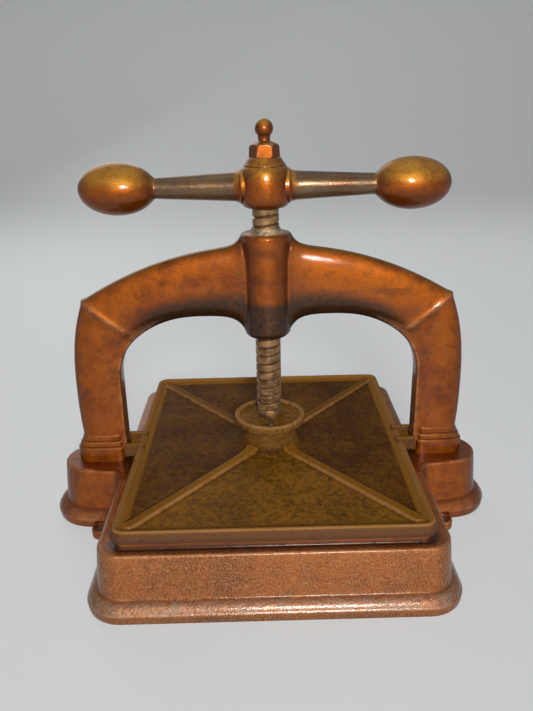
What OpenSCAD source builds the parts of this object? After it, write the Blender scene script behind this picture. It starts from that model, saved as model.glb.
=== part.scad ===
// Letter copying press: cast base, arch with a screw, and a ribbed platen.
// Millimetres, +Z up, front at -Y, the table at z = 0, the screw on the Z axis.

/* [Base] */
// Width of the base wall at its top edge
base_w = 283; // [240:1:340]
// Depth of the base wall at its top edge
base_d = 320; // [260:1:380]
// Height of the ledge round the bed
ledge_z = 56.5; // [45:0.5:75]
// Height of the bed over the ledge
bed_rise = 6.5; // [3:0.5:12]
// Corner radius of the base wall
base_corner_r = 19; // [10:0.5:30]
// Outward slope of the wall from the top to the plinth
wall_draft = 3.3; // [0:0.1:6]
// Reach of the plinth bead beyond the top edge
bead_out = 12.6; // [6:0.1:18]
// Height of the plinth bead
bead_h = 17; // [10:0.5:24]
// Wall thickness of the hollow base
wall_t = 9; // [6:0.5:16]
// Thickness of the base top
top_t = 11; // [7:0.5:18]
// Thickness of the two ribs under the base
under_rib_t = 8; // [4:0.5:16]

/* [Ears and lugs] */
// Radius of the rounded end of an ear
ear_r = 27; // [22:0.5:34]
// Angle of an ear's flanks
ear_flare = 9.5; // [2:0.5:16]
// Distance of a hold-down hole from the base wall
lug_reach = 20.5; // [18:0.5:30]
// Distance of a hold-down hole from the middle, front and back
lug_y = 51; // [48:0.5:66]
// Radius of the rounded end of a hold-down lug
lug_r = 8.8; // [8:0.2:12]
// Length of a lug from its hole to the middle of its rounded end
lug_tip = 0; // [0:0.5:14]
// Height of a hold-down lug
lug_h = 9; // [5:0.5:14]
// Radius of a hold-down hole
lug_hole_r = 5.8; // [3:0.1:6]

/* [Arch] */
// Distance of a leg's inner face from the middle
leg_in = 138.5; // [136:0.5:150]
// Width of a leg
leg_w = 44; // [36:0.5:54]
// Half depth of the legs and arms
arm_half = 10.6; // [9.5:0.1:16]
// Half width of the flat inner face that guides the platen
guide_half = 9.25; // [6:0.25:12]
// Height of the straight part of a leg
leg_straight = 63.5; // [40:0.5:80]
// Height of the arch at its crown
crown_z = 264; // [235:0.5:300]
// Drop from the crown to the haunch corner
haunch_drop = 47.5; // [35:0.5:60]
// Rise of the ridge along the mitre at the haunch
mitre_ridge = 1; // [0:0.1:2]
// Inset of the haunch corner from the outer face of the leg
haunch_inset = 14.5; // [8:0.5:20]
// Height of the underside of the arms
under_z = 199.5; // [185:0.5:215]
// Height where the inner face starts to curve
spring_z = 140; // [120:1:150]
// Radius of the boss
boss_r = 20.5; // [18.5:0.25:26]
// Height of the boss top over the crown
boss_rise = 10.5; // [6:0.5:16]
// Drop of the boss bottom under the arms
boss_drop = 18.5; // [12:0.5:24]
// Height of the foot moulding
foot_h = 29.5; // [20:0.5:40]
// Half depth of the foot
foot_half = 12.2; // [11:0.1:18]

/* [Screw and handle] */
// Radius of the screw over its crests
screw_r = 11.7; // [9:0.1:14]
// Height of the screw's shoulder over the boss
shoulder_rise = 22; // [12:0.5:35]
// Side of the square that drives the handle
square_side = 14.5; // [11:0.1:15.5]
// Radius of the stud for the cap nut
stud_r = 6; // [4:0.1:7]
// Radius of the hub
hub_r = 22.7; // [20:0.1:28]
// Height of the hub
hub_h = 35; // [30:0.5:40]
// Distance of the middle of a handle end from the screw
ball_x = 126.5; // [100:0.5:150]
// Half length of a handle end
ball_half = 33.5; // [28:0.5:40]
// Radius of a handle end
ball_r = 22.2; // [19:0.1:26]
// Bar radius at the hub
bar_hub_r = 12.6; // [9:0.1:14]
// Bar radius at the handle end
bar_end_r = 8.8; // [7:0.1:12]
// Nut size across flats
nut_af = 23.6; // [18:0.1:28]
// Nut height
nut_h = 13; // [9:0.5:18]
// Radius of the ball on the nut
finial_r = 7.8; // [5:0.1:11]

/* [Platen] */
// Width of the platen at its lower edge
platen_w = 261; // [220:1:268]
// Depth of the platen at its lower edge
platen_d = 311; // [250:1:314]
// Height of the platen's rim
rim_h = 10; // [7:0.5:16]
// Inward slope of the platen's sides
platen_draft = 3; // [0:0.1:5]
// Width of the rim, its narrow lip and its inner slope
rim_w = 10; // [6:0.5:16]
// Width of the lip on the rim
lip_w = 2; // [1:0.25:4]
// Corner radius of the platen
platen_corner_r = 13; // [8:0.5:20]
// Depth of the panels under the rim
panel_drop = 4; // [2:0.5:6]
// Width of a rib
rib_w = 11; // [8:0.5:20]
// Depth of the ribs' tops under the rim
rib_drop = 1.4; // [0.6:0.1:3]
// Radius of the cup over its ring
cup_r = 33.9; // [31:0.1:40]
// Height of the cup over the bottom of the platen
cup_h = 36.5; // [32:0.5:44]
// Height of the ring of the cup
cup_ring_h = 9; // [8:0.5:12]
// Radius of the neck under the ring
neck_r = 24.3; // [23.5:0.1:28]
// Recess radius in the cup
recess_r = 28.6; // [27:0.1:30]
// Radius of the flange on the screw's foot
flange_r = 13.8; // [12:0.1:15]
// Thickness of a prong of the fork
prong_t = 5.25; // [3:0.25:8]
// Overlap of a prong on the leg
prong_lap = 1.8; // [1.4:0.1:6]

/* [Bush, keepers and fasteners] */
// Outer radius of the thread bush
bush_r = 15.5; // [14.5:0.1:16.5]
// Length of the thread bush
bush_len = 70; // [40:1:80]
// Thickness of the keepers
keeper_t = 4; // [2.5:0.1:5]
// Radius of the leg bolts
bolt_r = 4.8; // [3:0.1:6]
// Leg bolt size across flats
bolt_af = 17; // [13:0.5:19]

/* [Fits] */
// Clearance of the screw in the bush
run_clear = 0.08; // [0.02:0.01:0.3]
// Clearance between the platen and the bed when closed
bed_gap = 0.5; // [0.3:0.1:2]
// Clearance at the sides of a leg in its fork
fork_clear = 0.5; // [0.3:0.05:1]
// Clearance of screws and bolts in their holes
bolt_clear = 0.4; // [0.2:0.05:1]
// Clearance of pieces that are fixed together
fit_clear = 0.05; // [0.02:0.01:0.2]
// Clearance of the screw's foot in the platen
foot_clear = 0.4; // [0.3:0.05:0.8]

/* [Hidden] */
$fn = 64;

iron = [0.55, 0.27, 0.12];
dark_iron = [0.36, 0.20, 0.12];
bronze = [0.72, 0.52, 0.26];
steel = [0.45, 0.38, 0.32];

bed_z = ledge_z + bed_rise;
lug_x = base_w / 2 + lug_reach;
boss_top_z = crown_z + boss_rise;
boss_bottom_z = under_z - boss_drop;
leg_out = leg_in + leg_w;
leg_mid = leg_in + leg_w / 2 + 1.5;
ear_x = leg_out - 8.5;
haunch_x = leg_out - haunch_inset;
haunch_z = crown_z - haunch_drop;
corner_n = 9;
ear_n = 25;

platen_z = bed_z + bed_gap;
rim_z = platen_z + rim_h;
panel_z = rim_z - panel_drop;
cup_z = platen_z + cup_h;
ring_z = cup_z - cup_ring_h;
recess_z = cup_z - keeper_t - 2.6;
socket_r = flange_r + foot_clear;
disc_t = 2.5;
flange_t = 8;
disc_z = recess_z - flange_t - disc_t - 2 * foot_clear;
flange_z = disc_z + disc_t + foot_clear;
journal_r = screw_r - 2.2;
keeper_in = journal_r + foot_clear;
keeper_screw_y = 20.5;
keeper_screw_r = 2;
thread_z = cup_z + 0.6;

bush_top_z = boss_top_z + 4.8;
bush_ring = 1.2;
shoulder_z = boss_top_z + shoulder_rise;
bore_r = screw_r + run_clear;
hub_top_z = shoulder_z + hub_h;
bar_z = shoulder_z + hub_h * 0.52;
washer_h = 7;
nut_z = hub_top_z + washer_h;
finial_z = nut_z + nut_h + finial_r + 2.4;
stud_top_z = nut_z + nut_h - 1.5;

bolt_head_z = 22;
bolt_head_h = 6.5;
washer_z = bolt_head_z + bolt_head_h;
leg_washer_t = 2;
washer_r = bolt_af * 0.62;
bolt_top_z = ledge_z + 24;

// A solid through rings of points, each ring counterclockwise seen from the end of the travel
module loft(rings) {
  n = len(rings[0]);
  m = len(rings);
  points = [for (ring = rings) each ring];
  sides = [for (i = [0:m - 2]) for (j = [0:n - 1])
    let (a = i * n + j, b = i * n + (j + 1) % n, c = b + n, d = a + n)
    each [[a, d, c], [a, c, b]]];
  first = [[for (j = [0:n - 1]) j]];
  last = [[for (j = [0:n - 1]) m * n - 1 - j]];
  polyhedron(points = points, faces = concat(first, sides, last), convexity = 6);
}

// A rounded rectangle of points at one height
function rounded(hx, hy, r, z) =
  [for (c = [0:3]) for (i = [0:corner_n - 1])
    let (a = c * 90 + i * 90 / (corner_n - 1))
    let (sx = (c == 0 || c == 3) ? 1 : -1, sy = c < 2 ? 1 : -1)
    [sx * (hx - r) + r * cos(a), sy * (hy - r) + r * sin(a), z]];

// The outline of the right ear, or of the hollow under it, at one height, closed on a line of constant x
function ear_flank(r, x) = r * cos(ear_flare) + (ear_x + r * sin(ear_flare) - x) * tan(ear_flare);
function ear_ring(grow, z, inside) =
  let (r = ear_r + grow, tangent = 90 - ear_flare, flank = ear_flank(r, inside))
  concat([[inside, -flank, z]],
    [for (i = [0:ear_n - 1])
      let (a = -tangent + 2 * tangent * i / (ear_n - 1))
      [ear_x + r * cos(a), r * sin(a), z]],
    [[inside, flank, z]]);

// The hollow curve in the corner between the ear and the wall, at one height
ear_fillet = 9;
fillet_n = 4;
function fillet_ring(grow, z) =
  let (r = ear_r + grow, wall = base_w / 2 + grow - 0.4, deep = 5 - ear_flank(r, wall))
  concat([[wall - 4, -ear_flank(r, wall) - 1.7 * ear_fillet + 1, z]],
    [for (i = [0:fillet_n])
      let (a = 90 * i / fillet_n, x = wall + ear_fillet * (1 - cos(a)))
      [x, 0.5 - ear_flank(r, x) - 1.7 * ear_fillet * (1 - sin(a)), z]],
    [[wall + ear_fillet, deep, z], [wall - 4, deep, z]]);

// Reach of the base's outline beyond its top edge, from the table up
bead_steps = [[0, bead_out - 1.6], [bead_h * 0.08, bead_out - 0.6], [bead_h * 0.46, bead_out],
  [bead_h * 0.53, bead_out - 0.3], [bead_h * 0.57, bead_out - 1], [bead_h * 0.72, bead_out - 2],
  [bead_h * 0.86, bead_out - 4.2], [bead_h * 0.96, bead_out - 7], [bead_h, wall_draft]];

module base_outline() {
  hx = base_w / 2;
  hy = base_d / 2;
  loft(concat(
    [for (s = bead_steps) rounded(hx + s[1], hy + s[1], base_corner_r + s[1], s[0])],
    [rounded(hx + 0.2, hy + 0.2, base_corner_r + 0.2, ledge_z - 1.5),
     rounded(hx - 1.4, hy - 1.4, base_corner_r - 1.4, ledge_z)]));
}

module ear_outline() {
  inside = base_w / 2 - wall_t - 4;
  loft(concat(
    [for (s = bead_steps) ear_ring(s[1], s[0], inside)],
    [ear_ring(0.2, ledge_z - 1.5, inside), ear_ring(-1.4, ledge_z, inside)]));
}

module ear_curve() {
  loft([fillet_ring(wall_draft + 0.6, 10), fillet_ring(0.3, ledge_z - 2), fillet_ring(-0.9, ledge_z - 0.6)]);
}

module lug() {
  wall_in = base_w / 2;
  lug_end = lug_y + lug_tip;
  translate([lug_x, -lug_end, 0]) cylinder(r = lug_r, h = lug_h);
  translate([wall_in, -lug_end - lug_r, 0]) cube([lug_x - wall_in, 2 * lug_r, lug_h]);
  translate([wall_in, -lug_end, 0]) cube([lug_x + lug_r - wall_in, lug_end - ear_r, lug_h]);
}

module base_side() {
  ear_outline();
  ear_curve();
  mirror([0, 1, 0]) ear_curve();
  lug();
  mirror([0, 1, 0]) lug();
}

module base_side_holes() {
  for (s = [-1, 1])
    translate([lug_x, s * lug_y, -1]) cylinder(r = lug_hole_r, h = lug_h + 2);
  loft([for (z = [-1, washer_z + leg_washer_t]) ear_ring(-wall_t, z, base_w / 2 + wall_draft + 1)]);
  translate([leg_mid, 0, 0]) cylinder(r = bolt_r + bolt_clear, h = ledge_z + 1);
}

module base_hollow() {
  hx = base_w / 2 - wall_t;
  hy = base_d / 2 - wall_t;
  hollow_h = ledge_z + bed_rise - top_t;
  difference() {
    translate([-hx, -hy, -1]) cube([2 * hx, 2 * hy, hollow_h + 1]);
    translate([-under_rib_t / 2, -hy - 1, 12]) cube([under_rib_t, 2 * hy + 2, hollow_h]);
    translate([-hx - 1, -under_rib_t / 2, 12]) cube([2 * hx + 2, under_rib_t, hollow_h]);
  }
}

module base() {
  bed_hx = platen_w / 2 - 4;
  bed_hy = platen_d / 2 - 4;
  color(iron) difference() {
    union() {
      base_outline();
      loft([rounded(bed_hx, bed_hy, 8, ledge_z - 2), rounded(bed_hx, bed_hy, 8, bed_z)]);
      base_side();
      mirror([1, 0, 0]) base_side();
    }
    base_hollow();
    base_side_holes();
    mirror([1, 0, 0]) base_side_holes();
  }
}

// Outer line of the arch: over the arms by x, down the legs by z
function arm_top(x) = crown_z - haunch_drop * pow(x / haunch_x, 2.2)
  + (boss_rise - 1) * exp(-max(x - boss_r - 2, 0) / 5);
leg_curve_z = ledge_z + leg_straight;
function leg_outer(z) =
  leg_out - (z < leg_curve_z ? 5 * pow((leg_curve_z - z) / leg_straight, 2)
    : haunch_inset * pow((z - leg_curve_z) / (haunch_z - leg_curve_z), 2.8));

// Inner line of the arch: a rounded quarter from the leg to the arm, then down to the boss
inner_flat_x = leg_in * 0.433;
inner_power = 2.25;
inner_rise = under_z - spring_z;
function inner_x(z) = z < spring_z ? leg_in
  : inner_flat_x + (leg_in - inner_flat_x) * pow(1 - pow((z - spring_z) / inner_rise, inner_power), 1 / inner_power);
function inner_z(x) = x < inner_flat_x
  ? max(under_z - 8 * pow((inner_flat_x - x) / inner_flat_x, 2.4)
    - (boss_drop - 6.5) * exp(-max(x - boss_r, 0) / 6), boss_bottom_z + 1.5)
  : spring_z + inner_rise * pow(1 - pow((x - inner_flat_x) / (leg_in - inner_flat_x), inner_power), 1 / inner_power);

mitre_z = spring_z + inner_rise * 0.69;
mitre_x = inner_x(mitre_z);
leg_start_z = ledge_z + 3;
pad_out = 0.3;
leg_stations = 14;
arm_stations = 24;
swell = 1.5;

// Half depth of an arm, growing into the boss
function arm_depth(x) = arm_half + swell * exp(-max(x - boss_r, 0) / 13);

// One section of the arch: inner point, outer point, half depth and half width of the inner face
function section(inner, outer, depth, flat) =
  let (k = 8)
  let (side = [for (j = [0:k])
    let (t = (1 - cos(180 * j / k)) / 2)
    let (round_part = pow(max(1 - pow(abs(2 * t - 1), 2.6), 0), 1 / 2.6) * depth)
    [t, t < 0.5 ? max(round_part, flat + 0.6 * sqrt(t)) : round_part]])
  concat(
    [for (j = [0:k])
      [inner[0] + (outer[0] - inner[0]) * side[j][0], side[j][1],
       inner[1] + (outer[1] - inner[1]) * side[j][0]]],
    [for (j = [k - 1:-1:0])
      [inner[0] + (outer[0] - inner[0]) * side[j][0], -side[j][1],
       inner[1] + (outer[1] - inner[1]) * side[j][0]]]);

// Height of the ridge at a distance from the mitre line
function ridge(d) = mitre_ridge * exp(-pow(d / 3.2, 2));

function leg_section(s, v) =
  let (u = 1 - pow(1 - v, 1.6))
  let (zi = leg_start_z + (mitre_z - leg_start_z) * u, zo = leg_start_z + (haunch_z - leg_start_z) * u)
  let (rise = ridge((1 - u) * (haunch_z - leg_start_z)))
  section([s * inner_x(zi), zi], [s * (leg_outer(zo) + 0.7 * rise), zo + 0.7 * rise],
    arm_half + rise, guide_half - 2.2 * max(u - 0.55, 0));

function arm_section(s, v) =
  let (near = pow(1 - pow(v, 1.4), 1.5))
  let (xi = mitre_x * near, xo = haunch_x * near)
  let (rise = ridge((1 - near) * haunch_x))
  section([s * xi, inner_z(xi)], [s * (xo + 0.7 * rise), arm_top(xo) + 0.7 * rise],
    arm_depth(xi) + rise, guide_half - 1 - 2 * v);

module arch_sweep() {
  loft(concat(
    [for (i = [0:leg_stations]) leg_section(-1, i / leg_stations)],
    [for (i = [1:arm_stations]) arm_section(-1, i / arm_stations)],
    [for (i = [arm_stations - 1:-1:1]) arm_section(1, i / arm_stations)],
    [for (i = [leg_stations:-1:0]) leg_section(1, i / leg_stations)]));
}

module boss() {
  rotate_extrude() polygon([[0, boss_bottom_z], [boss_r - 2.4, boss_bottom_z],
    [boss_r - 0.6, boss_bottom_z + 1.6], [boss_r + 0.3, boss_bottom_z + 4.5],
    [boss_r + 0.3, boss_bottom_z + 14], [boss_r + 0.4, boss_top_z - 20], [boss_r + 1.7, boss_top_z - 8],
    [boss_r + 1.9, boss_top_z - 2], [boss_r + 0.7, boss_top_z], [0, boss_top_z]]);
}

// The foot's outline at one height: square within and round without, drawn in by the moulding and its outer slope
foot_n = 40;
foot_out = 4.9;
function foot_ring(grow, lean, z) =
  let (x0 = leg_in + prong_lap + 0.8, x1 = leg_out + foot_out - lean * (foot_out + 1.2))
  [for (i = [0:foot_n - 1])
    let (a = 360 * (i + 0.5) / foot_n, c = cos(a), s = sin(a), power = c > 0 ? 0.77 : 0.36)
    [(x0 + x1) / 2 + sign(c) * pow(abs(c), power) * ((x1 - x0) / 2 + grow),
     sign(s) * pow(abs(s), power) * (foot_half + grow), z]];

// Moulding of the foot: height as a part of its whole, step in from its widest, lean of the outer side
foot_steps = [[0, 0, 0], [0.46, 0, 0], [0.485, -0.2, 0.03], [0.5, -0.8, 0.08], [0.515, -1.1, 0.12],
  [0.54, -0.75, 0.14], [0.68, -0.7, 0.4], [0.7, -0.85, 0.44], [0.715, -1.4, 0.48], [0.73, -1.6, 0.52],
  [0.755, -1.3, 0.54], [0.92, -1.25, 0.86], [0.95, -1.5, 0.92], [0.97, -2, 0.96], [1, -2.5, 1]];

module foot() {
  translate([leg_in - pad_out, -guide_half - pad_out, ledge_z])
    cube([leg_w / 2, 2 * (guide_half + pad_out), leg_start_z - ledge_z + 0.7]);
  loft([for (s = foot_steps) foot_ring(s[1], s[2], ledge_z + foot_h * s[0])]);
}

module arch() {
  bore_z = boss_top_z - bush_len;
  color(iron) difference() {
    union() {
      arch_sweep();
      boss();
      foot();
      mirror([1, 0, 0]) foot();
    }
    translate([0, 0, bore_z]) cylinder(r = bush_r + fit_clear, h = bush_len + 20);
    translate([0, 0, boss_bottom_z - 20]) cylinder(r = screw_r + 1, h = boss_top_z - boss_bottom_z);
    for (s = [-1, 1])
      translate([s * leg_mid, 0, ledge_z - 1]) cylinder(r = bolt_r + fit_clear, h = bolt_top_z - ledge_z + 2);
    translate([0, 0, pin_z]) rotate([-90, 0, 0]) cylinder(r = pin_r + fit_clear, h = boss_r + 10);
  }
}

module leg_bolt(side) {
  color(steel) translate([side * leg_mid, 0, 0]) {
    translate([0, 0, bolt_head_z]) cylinder(r = bolt_af / sqrt(3), h = bolt_head_h, $fn = 6);
    translate([0, 0, bolt_head_z]) cylinder(r = bolt_r, h = bolt_top_z - bolt_head_z);
  }
}

module leg_washer(side) {
  color(steel) translate([side * leg_mid, 0, washer_z]) difference() {
    cylinder(r = washer_r, h = leg_washer_t);
    translate([0, 0, -1]) cylinder(r = bolt_r + bolt_clear, h = leg_washer_t + 2);
  }
}

module leg_bolt_left() leg_bolt(-1);
module leg_bolt_right() leg_bolt(1);
module leg_washer_left() leg_washer(-1);
module leg_washer_right() leg_washer(1);

pin_r = 3;
pin_z = boss_top_z - 22;

module thread_bush() {
  color(bronze) difference() {
    union() {
      translate([0, 0, boss_top_z - bush_len]) cylinder(r = bush_r, h = bush_len);
      translate([0, 0, boss_top_z - 1]) cylinder(r = bore_r + bush_ring, h = bush_top_z - boss_top_z + 1);
    }
    translate([0, 0, boss_top_z - bush_len - 1]) cylinder(r = bore_r, h = bush_len + 10);
    translate([0, 0, pin_z]) rotate([-90, 0, 0]) translate([0, 0, bush_r - 1.5]) cylinder(r = pin_r + fit_clear, h = 10);
  }
}

module bush_pin() {
  color(steel) translate([0, 0, pin_z]) rotate([-90, 0, 0])
    translate([0, 0, bush_r - 1.5 + fit_clear]) cylinder(r = pin_r, h = boss_r + 0.2 - bush_r);
}

module press_screw() {
  color(steel) {
    translate([0, 0, flange_z]) cylinder(r = flange_r, h = flange_t);
    translate([0, 0, flange_z]) cylinder(r = journal_r, h = thread_z - flange_z + 1);
    translate([0, 0, thread_z]) cylinder(r = screw_r, h = shoulder_z - thread_z);
    translate([-square_side / 2, -square_side / 2, shoulder_z - 1]) cube([square_side, square_side, hub_h]);
    translate([0, 0, shoulder_z]) cylinder(r = stud_r, h = stud_top_z - shoulder_z);
  }
}

// Four-centre oval for the handle ends
oval_end_r = ball_r * 0.72;
oval_side_r = (pow(ball_half, 2) + pow(ball_r, 2) - 2 * ball_half * oval_end_r) / (2 * (ball_r - oval_end_r));
oval_end_c = ball_half - oval_end_r;
oval_join = oval_end_c * (1 + oval_end_r / (oval_side_r - oval_end_r));

module handle_end() {
  rotate([0, 90, 0]) rotate_extrude() intersection() {
    translate([0, -ball_half - 1]) square([ball_r + 1, 2 * ball_half + 2]);
    union() {
      intersection() {
        translate([ball_r - oval_side_r, 0]) circle(r = oval_side_r);
        translate([0, -oval_join]) square([ball_r + 1, 2 * oval_join]);
      }
      for (s = [-1, 1]) translate([0, s * oval_end_c]) circle(r = oval_end_r);
    }
  }
}

module handle_arm() {
  bar_len = ball_x - ball_half + 4;
  translate([0, 0, bar_z]) rotate([0, 90, 0]) cylinder(r1 = bar_hub_r + 1.2, r2 = bar_end_r, h = bar_len);
  translate([ball_x, 0, bar_z]) handle_end();
}

// Barrel of the hub: height as a part of its whole, and part of its widest radius
hub_steps = [[0, 0.64], [0.023, 0.77], [0.069, 0.863], [0.19, 0.94], [0.35, 0.987], [0.52, 1],
  [0.69, 0.987], [0.843, 0.94], [0.949, 0.87], [1, 0.803]];

module hub() {
  rotate_extrude() polygon(concat([[0, shoulder_z]],
    [for (s = hub_steps) [hub_r * s[1], shoulder_z + hub_h * s[0]]], [[0, hub_top_z]]));
}

module handle() {
  square_hole = square_side + 2 * fit_clear;
  color(iron) difference() {
    union() {
      hub();
      handle_arm();
      mirror([1, 0, 0]) handle_arm();
    }
    translate([-square_hole / 2, -square_hole / 2, shoulder_z - 20]) cube([square_hole, square_hole, hub_h + 40]);
  }
}

module hub_washer() {
  color(iron) difference() {
    translate([0, 0, hub_top_z]) cylinder(r1 = nut_af * 0.77, r2 = nut_af * 0.592, h = washer_h);
    translate([0, 0, hub_top_z - 1]) cylinder(r = stud_r + bolt_clear, h = washer_h + 2);
  }
}

// Dome over the nut: height as a part of its whole, and radius as a part of its width over flats
nut_steps = [[0, 0.563], [0.56, 0.563], [0.7, 0.543], [0.82, 0.495], [0.9, 0.433], [0.96, 0.35], [1, 0.24]];

module cap_nut() {
  neck_r_nut = finial_r * 0.66;
  color(iron) difference() {
    union() {
      intersection() {
        translate([0, 0, nut_z]) cylinder(r = nut_af / sqrt(3), h = nut_h, $fn = 6);
        rotate_extrude() polygon(concat([[0, nut_z]],
          [for (s = nut_steps) [nut_af * s[1], nut_z + nut_h * s[0]]], [[0, nut_z + nut_h]]));
      }
      translate([0, 0, nut_z + nut_h - 1]) cylinder(r = neck_r_nut, h = finial_z - nut_z - nut_h);
      translate([0, 0, finial_z]) sphere(r = finial_r);
    }
    translate([0, 0, nut_z - 1]) cylinder(r = stud_r + fit_clear, h = stud_top_z - nut_z + 1.5);
  }
}

rib_angle = atan2(platen_d / 2 - platen_draft - rim_w, platen_w / 2 - platen_draft - rim_w);
rib_len = norm([platen_w / 2 - platen_draft - rim_w, platen_d / 2 - platen_draft - rim_w]);

function rib_ring(x, grow, top) =
  let (w = rib_w / 2 + grow)
  [[x, -w - 0.7, panel_z - 1.7], [x, w + 0.7, panel_z - 1.7],
   [x, w - 0.4, top - 0.5], [x, w - 1, top], [x, -w + 1, top], [x, -w + 0.4, top - 0.5]];

module rib() {
  top = rim_z - rib_drop;
  loft([rib_ring(neck_r - 8, 3, top + 6), rib_ring(neck_r + 3.3, 2, top + 4.5),
    rib_ring(neck_r + 8.3, 1, top + 2), rib_ring(neck_r + 15, 0.4, top + 0.6),
    rib_ring(neck_r + 22, 0, top), rib_ring(rib_len + 4, 0, top)]);
}

module fork() {
  slot = guide_half + fork_clear;
  x0 = platen_w / 2 - platen_draft - 6;
  reach = leg_in + prong_lap - x0;
  for (s = [-1, 1])
    translate([x0, s > 0 ? slot : -slot - prong_t, platen_z]) cube([reach, prong_t, rim_h + 2.5]);
  translate([x0, -slot - prong_t, platen_z]) cube([leg_in - 1.2 - x0, 2 * (slot + prong_t), rim_h * 0.8]);
}

module platen() {
  hx = platen_w / 2;
  hy = platen_d / 2;
  ix = hx - platen_draft - rim_w;
  iy = hy - platen_draft - rim_w;
  lip = platen_draft + 0.7 + lip_w;
  corner = platen_corner_r;
  color(dark_iron) difference() {
    union() {
      difference() {
        loft([rounded(hx - 0.6, hy - 0.6, corner - 0.6, platen_z), rounded(hx, hy, corner, platen_z + 1.2),
          rounded(hx - platen_draft + 0.4, hy - platen_draft + 0.4, corner - platen_draft + 0.4, rim_z - 1),
          rounded(hx - platen_draft - 0.7, hy - platen_draft - 0.7, corner - platen_draft - 0.7, rim_z)]);
        loft([rounded(ix, iy, 4, panel_z), rounded(ix + 2.2, iy + 2.2, 4.5, panel_z + 0.5),
          rounded(hx - lip - 0.8, hy - lip - 0.8, corner - lip - 0.8, rim_z - 0.6),
          rounded(hx - lip, hy - lip, corner - lip, rim_z + 0.01)]);
      }
      for (sx = [0, 1]) for (sy = [0, 1])
        mirror([sx, 0, 0]) mirror([0, sy, 0]) rotate(rib_angle) rib();
      rotate_extrude() polygon([[0, panel_z - 1.3], [neck_r + 11, panel_z - 1.3], [neck_r + 8, panel_z + 0.8],
        [neck_r + 5, panel_z + 2.8], [neck_r + 2.6, panel_z + 5.8], [neck_r + 0.9, panel_z + 10],
        [neck_r, panel_z + 15], [neck_r, ring_z], [neck_r + 2, ring_z], [cup_r - 2, ring_z],
        [cup_r - 0.4, ring_z + 1.4], [cup_r, ring_z + cup_ring_h * 0.5], [cup_r - 0.3, cup_z - 1],
        [cup_r - 1.4, cup_z], [0, cup_z]]);
      fork();
      mirror([1, 0, 0]) fork();
    }
    translate([0, 0, recess_z]) cylinder(r = recess_r, h = cup_h);
    translate([0, 0, disc_z]) cylinder(r = socket_r, h = cup_h);
    for (s = [-1, 1])
      translate([0, s * keeper_screw_y, recess_z - 8]) cylinder(r = keeper_screw_r + fit_clear, h = 10);
  }
}

module thrust_disc() {
  color(steel) translate([0, 0, disc_z]) cylinder(r = flange_r, h = disc_t);
}

module keeper(side) {
  split = 0.15;
  color(dark_iron) difference() {
    translate([0, 0, recess_z]) cylinder(r = recess_r - fit_clear, h = keeper_t);
    translate([0, 0, recess_z - 1]) cylinder(r = keeper_in, h = keeper_t + 2);
    translate([-recess_r - 1, side > 0 ? -2 * recess_r + split : -split, recess_z - 1])
      cube([2 * recess_r + 2, 2 * recess_r, keeper_t + 2]);
    translate([0, side * keeper_screw_y, recess_z - 1]) cylinder(r = keeper_screw_r + bolt_clear, h = keeper_t + 2);
  }
}

module keeper_front() keeper(-1);
module keeper_rear() keeper(1);

module keeper_screws() {
  color(steel) for (s = [-1, 1]) translate([0, s * keeper_screw_y, recess_z]) {
    translate([0, 0, keeper_t]) cylinder(r1 = keeper_screw_r * 1.9, r2 = keeper_screw_r * 1.5, h = 1.6);
    translate([0, 0, -7]) cylinder(r = keeper_screw_r, h = keeper_t + 7.5);
  }
}

base();
arch();
leg_bolt_left();
leg_bolt_right();
leg_washer_left();
leg_washer_right();
thread_bush();
bush_pin();
press_screw();
handle();
hub_washer();
cap_nut();
platen();
thrust_disc();
keeper_front();
keeper_rear();
keeper_screws();
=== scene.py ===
"""Looks of a cast-iron letter copying press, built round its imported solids.

The castings are numpy skins in millimetres, turned to metres as they become meshes.
"""

from functools import partial
from types import SimpleNamespace

import bpy
import numpy as np
from bpy.props import FloatProperty, FloatVectorProperty, PointerProperty
from mathutils import Matrix, Vector


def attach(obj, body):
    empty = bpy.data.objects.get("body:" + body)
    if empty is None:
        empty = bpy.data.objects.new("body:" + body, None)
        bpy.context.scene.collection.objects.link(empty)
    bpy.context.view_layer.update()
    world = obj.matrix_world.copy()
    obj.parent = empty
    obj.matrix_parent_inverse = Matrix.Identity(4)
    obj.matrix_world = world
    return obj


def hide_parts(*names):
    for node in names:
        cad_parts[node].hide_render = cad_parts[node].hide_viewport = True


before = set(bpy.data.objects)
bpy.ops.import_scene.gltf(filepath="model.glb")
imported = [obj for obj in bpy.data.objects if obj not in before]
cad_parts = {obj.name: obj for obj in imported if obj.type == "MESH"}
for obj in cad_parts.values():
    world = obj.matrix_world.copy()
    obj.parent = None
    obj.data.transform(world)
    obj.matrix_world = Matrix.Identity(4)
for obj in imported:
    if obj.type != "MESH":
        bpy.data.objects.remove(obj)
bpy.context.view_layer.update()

bl_info = {
    "name": "Letter copying press",
    "version": (1, 0, 0),
    "blender": (4, 5, 0),
    "location": "View3D > Sidebar > Press",
    "description": "Builds the castings, screw, handle and finishes of a letter copying press",
    "category": "Object",
}

MM = 0.001

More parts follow.
